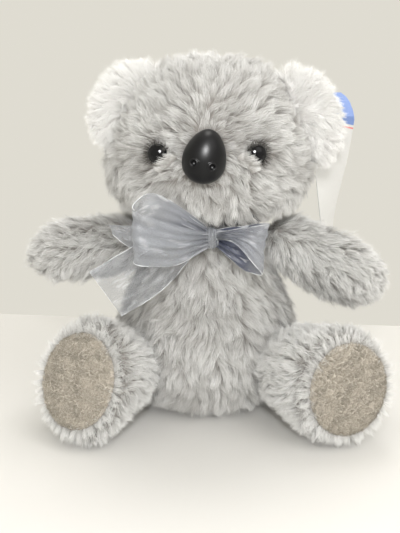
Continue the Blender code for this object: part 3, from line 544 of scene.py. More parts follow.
def ripple(places, size, rng):
    """A smooth field from -1 to 1 whose waves are about as long as the size."""
    total = np.zeros(len(places))
    for _ in range(5):
        wave = units(rng.normal(size=3)) * (2 * math.pi / (size * rng.uniform(0.7, 1.5)))
        total += np.sin(places @ wave + rng.uniform(0, 2 * math.pi))
    return np.clip(total / 2.6, -1, 1)


def rows_of(items, key, kind=np.float32):
    """A three-part attribute of a mesh's items, a row for each."""
    values = np.empty(len(items) * 3, kind)
    items.foreach_get(key, values)
    return values.reshape(-1, 3)


def scatter(thing, count, rng):
    """Random points on the piece, with their normals, or its area where no count is given."""
    mesh = thing.data
    mesh.calc_loop_triangles()
    corners = rows_of(mesh.loop_triangles, "vertices", np.int32)
    places = rows_of(mesh.vertices, "co").astype(float)
    normals = rows_of(mesh.vertices, "normal").astype(float)
    sides = places[corners[:, 1:]] - places[corners[:, :1]]
    areas = np.linalg.norm(np.cross(sides[:, 0], sides[:, 1]), axis=1) / 2
    if count is None:
        return areas.sum()
    chosen = corners[rng.choice(len(areas), count, p=areas / areas.sum())]
    root = np.sqrt(rng.random(count))
    slide = rng.random(count)
    weights = np.stack([1 - root, root * (1 - slide), root * slide], 1)[:, :, None]
    return (places[chosen] * weights).sum(1), units((normals[chosen] * weights).sum(1))


def turned(headings, normals, angles):
    """Headings turned about the normals."""
    angles = angles[:, None]
    return headings * np.cos(angles) + np.cross(normals, headings) * np.sin(angles)


def nearest(seeds, places):
    tree = KDTree(len(seeds))
    for index, seed in enumerate(seeds):
        tree.insert(seed, index)
    tree.balance()
    return np.array([tree.find(place)[1] for place in places])


def tree_of(things):
    """One search tree of several pieces' faces."""
    points, faces = [], []
    for thing in things:
        start = len(points)
        points += [vertex.co for vertex in thing.data.vertices]
        faces += [[start + corner for corner in face.vertices] for face in thing.data.polygons]
    return BVHTree.FromPolygons(points, faces)


def inside(tree, places, depth):
    """Which places lie deeper than this under the tree's surface."""
    found = np.zeros(len(places), bool)
    for index, place in enumerate(places):
        point, normal, _, apart = tree.find_nearest(place)
        found[index] = apart > depth and (Vector(place) - point).dot(normal) < 0
    return found


def grow_pile(name, base, body, slot, material, length, comb, options):
    """Strands of pile on a base, in tufts that lean the way that the comb says.

    The comb takes places and normals and gives the headings, then the strands' share of the
    length, and how far they lean from upright at the root and at the tip, in radians.
    """
    plush = bpy.context.scene.koala_plush
    rng = np.random.default_rng(options["seed"])
    density = options.get("density", 1) * plush.density * 1
    count = int(scatter(base, None, rng) * 1e6 * density)
    places, normals = scatter(base, count, rng)
    chance = options["keep"](places, normals) if "keep" in options else np.ones(count)
    for other in options.get("hidden_by", ()):
        chance = chance * ~inside(tree_of([bpy.data.objects[other]]), places, 0.005)
    kept = rng.random(count) < chance
    places, normals = places[kept], normals[kept]
    count = len(places)
    headings, long_share, root_lean, tip_lean = comb(places, normals)
    headings = headings - normals * (headings * normals).sum(1, keepdims=True)
    headings = units(headings + rng.normal(size=headings.shape) * 1e-3)
    spacing = options.get("spacing", plush.tuft_spacing)
    seeds = rng.choice(count, max(int(count / density / 1e6 / spacing**2), 1), replace=False)
    tuft = nearest(places[seeds], places)
    swirl = ripple(places[seeds], options.get("swirl_size", 0.022), rng)
    swirl *= options.get("swirl", 0.45)
    swirl += rng.normal(size=len(seeds)) * options.get("stray", 0.28)
    headings = turned(headings, normals, swirl[tuft] + rng.normal(size=count) * 0.16)
    bends = rng.normal(size=len(seeds))[tuft] * options.get("bend", 0.40)
    tuft_long = rng.uniform(0.82, 1.12, len(seeds))
    lengths = length * long_share * tuft_long[tuft] * rng.uniform(0.72, 1.08, count)
    lift = rng.normal(size=len(seeds))[tuft] * 0.13 + rng.normal(size=count) * 0.08
    starts = np.clip(root_lean + lift, 0, 1.5)[:, None]
    ends = np.clip(tip_lean + lift, 0, 1.62)[:, None]
    low = normals * np.cos(starts) + headings * np.sin(starts)
    high = normals * np.cos(ends) + turned(headings, normals, bends) * np.sin(ends)
    high = units(high + rng.normal(size=high.shape) * 0.10)
    steps = np.arange(STRAND_ROWS + 1) / STRAND_ROWS
    paths = np.stack(
        [places + lengths[:, None] * (low * step + (high - low) * step**2 / 2) for step in steps]
    )
    paths = paths.astype(np.float32)
    middle = seeds[tuft]
    loose = rng.random(count) < 0.25
    pull = plush.tuft_pull * options.get("pull", 1) * np.where(loose, 0.3, 1)
    pull = pull * rng.uniform(0.7, 1.1, count)
    offset = paths[0] - paths[0][middle]
    for index, step in enumerate(steps[1:], 1):
        aim = paths[index][middle] + offset * 0.12
        share = (np.clip(pull, 0, 0.95) * step**1.3)[:, None]
        paths[index] += (aim - paths[index]) * share
    if options.get("blockers"):
        tree = tree_of(options["blockers"])
        near = options.get("near", lambda places: np.ones(len(places), bool))(places)
        for index in np.flatnonzero(near):
            start, tip = Vector(paths[0][index]), Vector(paths[-1][index])
            reach = (tip - start).length
            hit = tree.ray_cast(start, tip - start, reach + 0.0012)
            if hit[0] is not None:
                share = min(max((hit[3] - 0.0014) / max(reach, 1e-6), 0.05), 1)
                root = paths[0, index]
                paths[1:, index] = root + (paths[1:, index] - root) * share
    paths[:, :, 2] = np.maximum(paths[:, :, 2], 0.0003 + rng.random(count) * 0.0008)
    steepness = units(paths[-1] - paths[0])
    facing = units(normals + rng.normal(size=normals.shape) * 0.45)
    half_width = plush.strand_width * options.get("width", 1) / 2
    widths = units(np.cross(steepness, facing)) * half_width
    widths *= rng.uniform(0.7, 1.2, count)[:, None]
    tones = 0.5 + options.get("patchy", 0.22) * ripple(places, options.get("patch", 0.022), rng)
    tones += rng.normal(size=len(seeds))[tuft] * 0.16
    # A piece's tone shift paints light on the arms and legs, and shade on the body.
    tones += rng.normal(size=count) * 0.14 + options.get("tone", 0)
    # Painted shade: a piece may darken its strands' tone where shade falls, as round the eyes.
    if "shade" in options:
        tones -= options["shade"](places)
    tones = np.clip(tones, 0.03, 0.97)
    limit = PIECE_TRIANGLES // (STRAND_ROWS * 2 - 1)
    parts = max(math.ceil(count / limit), 1)
    order = np.argsort(places[:, 1], kind="stable")
    made = []
    for part, chosen in enumerate(np.array_split(order, parts)):
        mesh = strand_mesh(name, paths[:, chosen], widths[chosen], tones[chosen], steps)
        label = name if parts == 1 else f"{name}_{part + 1}"
        made.append(show(label, mesh, material, body, slot))
    return made


def strand_mesh(name, paths, widths, tones, steps):
    """Tapered blades along the paths, each with its tone across its map and its height up it."""
    rows = len(steps) - 1
    count = len(tones)
    size = rows * 2 + 1
    points = np.empty((count, size, 3), np.float32)
    map_places = np.empty((count, size, 2), np.float32)
    for row in range(rows):
        taper = (1 - steps[row]) ** 0.6
        points[:, row * 2] = paths[row] - widths * taper
        points[:, row * 2 + 1] = paths[row] + widths * taper
        map_places[:, row * 2, 0] = tones - 0.006
        map_places[:, row * 2 + 1, 0] = tones + 0.006
        map_places[:, row * 2 : row * 2 + 2, 1] = 0.01 + 0.98 * steps[row]
    points[:, -1] = paths[-1]
    map_places[:, -1, 0] = tones
    map_places[:, -1, 1] = 0.99
    pattern, starts = [], []
    for row in range(rows - 1):
        starts.append(len(pattern))
        low = row * 2
        pattern += [low, low + 1, low + 3, low + 2]
    starts.append(len(pattern))
    pattern += [size - 3, size - 2, size - 1]
    corners = (np.array(pattern)[None] + np.arange(count)[:, None] * size).ravel()
    first = (np.array(starts)[None] + np.arange(count)[:, None] * len(pattern)).ravel()
    mesh = bpy.data.meshes.new(name)
    mesh.vertices.add(count * size)
    mesh.vertices.foreach_set("co", points.ravel())
    mesh.loops.add(len(corners))
    mesh.loops.foreach_set("vertex_index", corners.astype(np.int32))
    mesh.polygons.add(len(first))
    mesh.polygons.foreach_set("loop_start", first.astype(np.int32))
    mesh.update(calc_edges=True)
    layer = mesh.uv_layers.new(name=PILE_MAP)
    layer.data.foreach_set("uv", map_places.reshape(-1, 2)[corners].ravel())
    mesh.shade_smooth()
    return mesh


def laid_pile(name, place, turn, roots, tips, height, body, material, tone, rng):
    """Strands from their roots to their tips on a plane, at the height over it that is given."""
    steps = np.arange(6) / 5
    flat = np.stack([roots + (tips - roots) * step for step in steps])
    local = np.concatenate([flat, height(flat, steps[:, None])[:, :, None]], 2)
    paths = (np.array(place) + local @ np.array(turn).T).astype(np.float32)
    sideways = units(np.cross(paths[-1] - paths[0], np.array(turn.col[2])))
    width = bpy.context.scene.koala_plush.strand_width / 2
    widths = sideways * width * rng.uniform(0.7, 1.2, (len(roots), 1))
    tones = np.clip(tone + rng.normal(size=len(roots)) * 0.16, 0.03, 0.97)
    return show(name, strand_mesh(name, paths, widths, tones, steps), material, body, "grey_plush")


def head_front(side_offset, rise):
    """The point of the head's front at a side offset from its middle and a rise, and its normal."""
    reach = HEAD_CROWN if rise > 0 else HEAD_JAW
    swell = (1 - (rise / reach) ** 2) ** (HEAD_FULLNESS / 2)
    across = side_offset / (HEAD_HALF_WIDTH * swell)
    depth = HEAD_HALF_DEPTH * swell * math.sqrt(1 - across * across)
    normal = Vector(
        (side_offset / HEAD_HALF_WIDTH**2, -depth / HEAD_HALF_DEPTH**2, rise / reach**2)
    )
    return Vector((HEAD_SIDE + side_offset, -depth, HEAD_LEVEL + rise)), normal.normalized()


def nose_seat():
    """The middle of the nose's back, its normal and its turn."""
    point, normal = head_front(*NOSE_SEAT)
    return point, normal, frame_along(normal) @ Matrix.Rotation(NOSE_ROLL, 3, "Z")


def eye_seat(side):
    """The middle of an eye's back, and its normal."""
    return head_front(EYE_MIDDLE + side * EYE_SPACING, EYE_RISE)


def button(centre, turn, half_width, half_height, depth, back, stem, segments=40):
    """A dome on a shallow back, with its stem, facing the turn's Z."""
    bm = bmesh.new()
    bmesh.ops.create_uvsphere(bm, u_segments=segments, v_segments=segments // 2, radius=1)
    for vertex in bm.verts:
        x, y, z = vertex.co
        vertex.co = (x * half_width, y * half_height, z * (depth if z > 0 else back))
    stem_radius, stem_length = stem
    bmesh.ops.create_cone(
        bm,
        cap_ends=True,
        segments=16,
        radius1=stem_radius,
        radius2=stem_radius,
        depth=stem_length,
        matrix=Matrix.Translation((0, 0, -stem_length / 2 - back * 0.5)),
    )
    bmesh.ops.transform(bm, matrix=Matrix.Translation(centre) @ turn.to_4x4(), verts=bm.verts)
    return bm


def curve_through(points, share):
    """A point of the smooth curve through evenly spaced points."""
    place = share * (len(points) - 1)
    index = min(int(place), len(points) - 2)
    t = place - index
    p0, p1 = points[max(index - 1, 0)], points[index]
    p2, p3 = points[index + 1], points[min(index + 2, len(points) - 1)]
    bend = (p2 - p0) * t + (2 * p0 - 5 * p1 + 4 * p2 - p3) * t**2
    return (2 * p1 + bend + (3 * p1 - p0 - 3 * p2 + p3) * t**3) / 2


def pieces(*starts):
    """The pieces whose names start so."""
    return [thing for thing in bpy.data.objects if thing.name.startswith(starts)]


def knot_box():
    low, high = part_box("bow_knot")
    return (low + high) / 2, (high - low) / 2


def ribbon_place(name, shares, closed, across, along):
    """A point of a ribbon, at -1 to 1 across it and 0 to 1 along it, with its gathers."""
    bow = bpy.context.scene.koala_bow
    middle, half = knot_box()

    def at(share):
        place = curve_through([Vector(pair[0]) for pair in shares], share) * bow.half_width
        tuck = max(1 - share * 5, (share * 5 - 4) if closed else 0, 0)
        reach = half.x + 0.0006 - tuck * 0.0045
        return middle + Vector((SIDES[name] * (place.x + reach), -place.y, place.z))

    width = curve_through([Vector(pair[1]) for pair in shares], along)
    slack = math.sqrt(max(1 - width.length_squared, 0))
    width = Vector((SIDES[name] * width.x, -width.y, width.z)) * bow.half_width
    ahead = at(min(along + 0.02, 1)) - at(max(along - 0.02, 0))
    out = ahead.cross(width).normalized()
    pinch = max(1 - along * 2.4, (along * 2.4 - 1.4) if closed else 0, 0.2)
    depth = slack * bow.half_width / bow.pleats / 2
    fold = math.cos(math.pi * bow.pleats * across + along * 1.5) * depth * pinch
    wave = math.sin(across * 4.1 + along * 9) * math.sin(along * 6.3 + 1) * 0.0008 * (1 - pinch)
    wave += math.sin(across * 9 + 2 + along * 16) * math.sin(across * 5 - along * 23) * 0.0004
    return at(along) + width * across + out * (fold + wave)


def grid_sheet(columns, rows, place_at):
    """A grid bent to a sheet, with its map across and along it."""
    bm = bmesh.new()
    bmesh.ops.create_grid(bm, x_segments=columns, y_segments=rows, size=1)
    layer = bm.loops.layers.uv.new(CLOTH_MAP)
    for face in bm.faces:
        for loop in face.loops:
            loop[layer].uv = ((loop.vert.co.x + 1) / 2, (loop.vert.co.y + 1) / 2)
    for vertex in bm.verts:
        vertex.co = place_at(vertex.co.x, (vertex.co.y + 1) / 2)
    return bm


def edge_cord(points, radius, name):
    """A thin round cord along the points, made a mesh."""
    curve = bpy.data.curves.new(name, "CURVE")
    curve.dimensions = "3D"
    curve.bevel_depth = radius
    curve.bevel_resolution = 1
    curve.use_fill_caps = True
    spline = curve.splines.new("POLY")
    spline.points.add(len(points) - 1)
    for point, place in zip(spline.points, points):
        point.co = (*place, 1)
    thing = bpy.data.objects.new("work", curve)
    bpy.context.scene.collection.objects.link(thing)
    mesh = finished_mesh(thing)
    bpy.data.objects.remove(thing)
    bpy.data.curves.remove(curve)
    return mesh


def add_ribbon(name, node, shares, side, closed, flat_length, material, edge_material):
    bow = bpy.context.scene.koala_bow

    def place_at(across, along):
        return ribbon_place(side, shares, closed, across, along)

    mesh = mesh_of(grid_sheet(30, 72, place_at), name)
    sheet = show(name, mesh, material, "body", "organza", [node])
    for label, across in (("low", -1), ("high", 1)):
        last = 40 if name == "loop_right" and across > 0 else 73
        points = [place_at(across, step / 72) for step in range(last)]
        cord = edge_cord(points, bow.selvage, name)
        show(f"{name}_selvage_{label}", cord, edge_material, "body", "organza")
    if not closed:
        points = [place_at(step / 12 - 1, 1) for step in range(25)]
        cord = edge_cord(points, bow.selvage * 0.5, name)
        show(f"{name}_cut_end", cord, edge_material, "body", "organza")
    return sheet


class KOALA_OT_padding(bpy.types.Operator):
    """Stuffed skins of the body, the head, the ears, the arms and the legs"""

    bl_idname = "koala.padding"
    bl_label = "Add the padding"

    def execute(self, context):
        plush = context.scene.koala_plush
        grey = backing_finish("grey backing", tuple(plush.grey_root))
        white = backing_finish("white backing", tuple(plush.white_root))
        sets = []
        for part in ("body", "head"):
            nodes = [f"{part}_skin", f"{part}_filling"]
            sets.append((part, part, "grey_plush", grey, nodes[1:], nodes))
        for side in SIDES:
            for limb in ("arm", "leg"):
                nodes = [f"{limb}_{side}_skin", f"{limb}_{side}_filling"]
                name, body = f"{limb}_{side}", f"{side}_{limb}"
                sets.append((name, body, "grey_plush", grey, nodes[1:], nodes))
            panels = [f"ear_{side}_front", f"ear_{side}_back"]
            sets.append((f"ear_{side}", f"{side}_ear", "white_plush", white, panels, panels))
        for name, body, slot, material, sources, replaced in sets:
            ear = name.startswith("ear")
            inset = plush.ear_inset if ear else (0, 0, 0)
            mesh = padded_form(sources, plush.grid * (0.6 if ear else 1), inset)
            mesh.shade_smooth()
            show(name + "_padding", mesh, material, body, slot, replaced)
        return {"FINISHED"}


class KOALA_OT_face(bpy.types.Operator):
    """Safety eyes, the nose with its nostrils, and the washers behind them"""

    bl_idname = "koala.face"
    bl_label = "Add the face"

    def execute(self, context):
        face = context.scene.koala_face
        gloss = plastic_finish("glossy black plastic", tuple(face.plastic), 0.04, 0.0)
        satin = plastic_finish("satin black plastic", tuple(face.plastic), 0.32, 0.00002)
        washer = plastic_finish("white plastic", (0.75, 0.75, 0.73), 0.4, 0.00003)
        for name, side in SIDES.items():
            point, normal = eye_seat(side)
            turn = frame_along(normal)
            radius = face.eye_radius
            bm = button(point, turn, radius, radius, face.eye_height, 0.0022, (0.0019, 0.0085))
            mesh = mesh_of(bm, "eye")
            show(f"eye_{name}_dome", mesh, gloss, "head", "glossy_black", [f"eye_{name}"])
            frame["nodes"][f"eye_{name}_washer"].data.materials[0] = washer
        frame["nodes"]["nose_washer"].data.materials[0] = washer
        self.add_nose(face, satin)
        return {"FINISHED"}

    def add_nose(self, face, material):
        point, normal, turn = nose_seat()
        sizes = (face.nose_half_width, face.nose_half_height, face.nose_depth)
        bm = button(point, turn, *sizes, 0.0030, (0.0024, 0.0080), segments=64)
        sideways, upwards = turn.col[0], turn.col[1]
        for vertex in bm.verts:
            offset = vertex.co - point
            if offset.dot(normal) > -0.0031:
                rise = offset.dot(upwards) / face.nose_half_height
                vertex.co -= sideways * offset.dot(sideways) * NOSE_TAPER * (rise + 1) / 2
        nose = show("nose_button", mesh_of(bm, "nose"), material, "head", "satin_black", ["nose"])
        tools = []
        for side in SIDES.values():
            across = side * face.nostril_spacing
            share = (across / sizes[0]) ** 2 + (NOSTRIL_DROP / sizes[1]) ** 2
            centre = point + normal * sizes[2] * math.sqrt(1 - share) + sideways * across
            centre = centre - upwards * NOSTRIL_DROP
            outwards = (normal * sizes[0] + sideways * across).normalized()
            place = Matrix.Translation(centre) @ frame_along(outwards).to_4x4()
            rim = bmesh.new()
            profile = bmesh.ops.create_circle(
                rim,
                segments=12,
                radius=0.0006,
                matrix=Matrix.Translation((face.nostril_radius + 0.0002, 0, 0))
                @ Matrix.Rotation(math.pi / 2, 4, "X"),
            )["verts"]
            bmesh.ops.spin(
                rim,
                geom=profile + list(rim.edges),
                cent=(0, 0, 0),
                axis=(0, 0, 1),
                angle=2 * math.pi,
                steps=32,
                use_merge=True,
            )
            bmesh.ops.transform(rim, matrix=place, verts=rim.verts)
            bmesh.ops.recalc_face_normals(rim, faces=rim.faces)
            pit = bmesh.new()
            bmesh.ops.create_uvsphere(
                pit, u_segments=28, v_segments=14, radius=face.nostril_radius, matrix=place
            )
            tools += [("UNION", rim), ("DIFFERENCE", pit)]
        for operation, shape in tools:
            tool = show("tool", mesh_of(shape, "tool"), material)
            modifier = nose.modifiers.new(operation, "BOOLEAN")
            modifier.operation = operation
            modifier.object = tool
            modifier.solver = "EXACT"
            made = finished_mesh(nose)
            nose.modifiers.clear()
            nose.data = made
            bpy.data.objects.remove(tool)
        nose.data.shade_smooth()


class KOALA_OT_bow(bpy.types.Operator):
    """The organza ribbon round the neck, its knot, loops and tails"""

    bl_idname = "koala.bow"
    bl_label = "Add the bow"

    def execute(self, context):
        bow = context.scene.koala_bow
        light = tuple(bow.cloth)
        cloth = organza_finish(bow, "organza", light, 0.4)
        # A shaded copy of the organza for the left loop: its inside is painted darker, and further
        # from the knot.
        shaded_cloth = organza_finish(bow, "organza, opened loop", light, 1.0, 1.8)
        thin = tuple(part * bow.single for part in light)
        single = organza_finish(bow, "organza, one layer", thin, 0.5)
        edge = Finish("selvage", roughness=0.35)
        worn = edge.noise(edge.spot(), 600)
        edge.drive("Base Color", edge.mix((0.8, 0.82, 0.85), tuple(bow.edge), worn))
        edge.drive("Alpha", (0.15 + edge.noise(edge.spot(), 75).over(0.5, 0.12) * 0.8).held())
        lengths = {"right": 0.100, "left": 0.060}
        tails = {"right": 0.067, "left": 0.0195}
        for side in SIDES:
            sheer = shaded_cloth if side == "left" else cloth
            for kind, shares, closed, flat_lengths, finish in (
                ("loop", LOOP_SHARES, True, lengths, sheer),
                ("tail", TAIL_SHARES, False, tails, single),
            ):
                name, length = f"{kind}_{side}", flat_lengths[side]
                route = (name, f"bow_{name}", shares[side], side, closed)
                add_ribbon(*route, length, finish, edge.material)
        self.add_knot(cloth)
        self.add_collar(cloth)
        self.add_band_fold(cloth, edge.material)
        return {"FINISHED"}

    def add_band_fold(self, cloth, edge_material):
        """The half-folded end of the neck band, seen between the head and the right arm."""
        route = [Vector(place) for place in BAND_FOLD_ROUTE]
        widths = [Vector(width) for width in BAND_FOLD_WIDTHS]

        def place_at(across, along):
            wave = Vector((0, math.sin(across * 3 + along * 8) * 0.0006, 0))
            return curve_through(route, along) + curve_through(widths, along) * across + wave

        mesh = mesh_of(grid_sheet(16, 36, place_at), "fold")
        fold = show("band_fold", mesh, cloth, "body", "organza")
        points = [place_at(-1, step / 36) for step in range(37)]
        cord = edge_cord(points, bpy.context.scene.koala_bow.selvage, "band_fold")
        cord = show("band_fold_selvage", cord, edge_material, "body", "organza")

    def add_knot(self, cloth):
        middle, half = knot_box()

        def place_at(across, along):
            angle = along * 2 * math.pi + across * 0.3
            swell = math.cos(across * 1.1) ** 0.5 * (1 + 0.07 * math.cos(across * 16 + along * 5))
            x = half.x * 0.60 * across
            y = half.y * 0.85 * swell * math.cos(angle)
            return middle + Vector((x, y, half.z * 0.82 * swell * math.sin(angle)))

        mesh = mesh_of(grid_sheet(28, 40, place_at), "knot")
        knot = show("knot", mesh, cloth, "body", "organza", ["bow_knot"])

    def add_collar(self, cloth):
        low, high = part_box("neck_ribbon")
        radius = (high.x - low.x) / 2 - 0.0013

        def place_at(across, along):
            angle = along * 2 * math.pi
            fold = 0.0011 * math.cos(across * math.pi * 8)
            wobble = 0.0003 * math.sin(angle * 7 + across * 3)
            x = (radius + fold + wobble) * math.cos(angle)
            y = (radius + fold + wobble) * math.sin(angle)
            return Vector((x, y, (low.z + high.z) / 2 + across * (high.z - low.z) / 2))

        bm = grid_sheet(64, 120, place_at)
        collar = show("collar", mesh_of(bm, "collar"), cloth, "body", "organza", ["neck_ribbon"])


class KOALA_OT_tag(bpy.types.Operator):
    """The twisted hang tag and its fastener"""

    bl_idname = "koala.tag"
    bl_label = "Add the hang tag"

    def execute(self, context):
        tag = context.scene.koala_tag
        hole = HINGES["tag_swing"]

        def place_at(across, along):
            drop = 1 - along * (1 - TAG_DROP_SHARES[0])
            lean = 0.037 * math.sin(math.pi / 2 * max(drop - 0.06, 0))
            twist = math.radians(62) * (1 - math.cos(math.pi * max(drop, 0))) / 2
            half_width = tag.half_width * np.interp(drop, TAG_DROP_SHARES, TAG_WIDTH_SHARES)
            centre = hole + Vector((0.007 * max(drop, 0), lean, -drop * (tag.length - 0.0085)))
            return centre + Vector((math.cos(twist), math.sin(twist), 0)) * half_width * across

        bm = grid_sheet(12, 90, place_at)
        bmesh.ops.recalc_face_normals(bm, faces=bm.faces)
        bmesh.ops.solidify(bm, geom=bm.faces[:], thickness=tag.thickness)
        card = show("tag_card", mesh_of(bm, "tag"), card_finish(tag), "tag", "card", ["hang_tag"])
        card.data.shade_flat()
        clear = Finish("clear plastic", roughness=0.15, transmission_weight=0.6, ior=1.45)
        haze = clear.noise(clear.spot(), 300)
        clear.drive("Base Color", clear.mix((0.85, 0.86, 0.87), (0.7, 0.72, 0.74), haze))
        frame["nodes"]["tag_fastener"].data.materials[0] = clear.material
        return {"FINISHED"}


class KOALA_OT_pads(bpy.types.Operator):
    """Foot pads of short velour"""

    bl_idname = "koala.pads"
    bl_label = "Add the foot pads"

    def execute(self, context):
        plush = context.scene.koala_plush
        base = backing_finish("velour backing", tuple(plush.pad_light))
        dark, light = tuple(plush.pad_dark), tuple(plush.pad_light)
        # The nap's roots take the dark colour: partly mottled tone, partly painted shade between
        # its fibres.
        nap = pile_finish("velour nap", dark, dark, light, 0.7)
        for name in SIDES:
            middle, turn, half = pad_frame(name)
            bm = bmesh.new()
            bmesh.ops.create_uvsphere(bm, u_segments=64, v_segments=40, radius=1)
            for vertex in bm.verts:
                x, y, z = vertex.co
                round_edge = (1 - min(x * x + y * y, 1) ** 2.6) ** 0.5
                rise = 0.0030 * round_edge if z > 0 else -0.0018 * round_edge
                vertex.co = (x * half.x, y * half.y, rise)
            place = Matrix.Translation(middle) @ turn.to_4x4()
            bmesh.ops.transform(bm, matrix=place, verts=bm.verts)
            bmesh.ops.recalc_face_normals(bm, faces=bm.faces)
            node = f"foot_pad_{name}"
            pad = show(f"pad_{name}", mesh_of(bm, "pad"), base, f"{name}_leg", "velour", [node])
            facing = np.array(turn.col[2])

            def comb(places, normals, name=name):
                flow = np.tile(np.array(UP) * 0.2 + np.array((SIDES[name], 0, 0)), (len(places), 1))
                ones = np.ones(len(places))
                return flow, ones, ones * 0.75, ones * 1.15

            def keep(places, normals, facing=facing):
                return (normals @ facing > -0.3) * 1.0

            options = {"seed": 40 + SIDES[name], "keep": keep, "density": 3.2, "spacing": 0.0017}
            options |= {"swirl": 1.1, "swirl_size": 0.012, "stray": 0.5}
            options |= {"patch": 0.009, "patchy": 0.42, "width": 0.6}
            piece = (f"pad_{name}_nap", pad, f"{name}_leg", "velour", nap)
            grow_pile(*piece, plush.nap_length, comb, options)
        return {"FINISHED"}


def pad_frame(name):
    """The middle of a foot pad, its turn, and its half sizes."""
    node = frame["nodes"][f"foot_pad_{name}"]
    points = np.array([vertex.co for vertex in node.data.vertices])
    middle = (points.max(0) + points.min(0)) / 2
    facing = np.linalg.eigh(np.cov((points - middle).T))[1][:, 0]
    if facing[1] > 0:
        facing = -facing
    turn = frame_along(facing)
    local = (points - middle) @ np.array(turn)
    half = (local.max(0) - local.min(0)) / 2
    centre = Vector(middle) + turn @ Vector((local.max(0) + local.min(0)) / 2)
    return centre, turn, Vector(half)


def shared_pile(name, *colours):
    """The pile finish of this name, made once."""
    made = bpy.data.materials.get(name)
    return made or pile_finish(name, *(tuple(colour) for colour in colours))


def grey_finish():
    plush = bpy.context.scene.koala_plush
    return shared_pile("grey pile", plush.grey_root, plush.grey_dark, plush.grey_light)


# Painted light: the grey pile made lighter for the legs.
def lit_leg_finish():
    plush = bpy.context.scene.koala_plush
    return shared_pile("pale pile", plush.lit_leg_root, plush.lit_leg_dark, plush.grey_light)


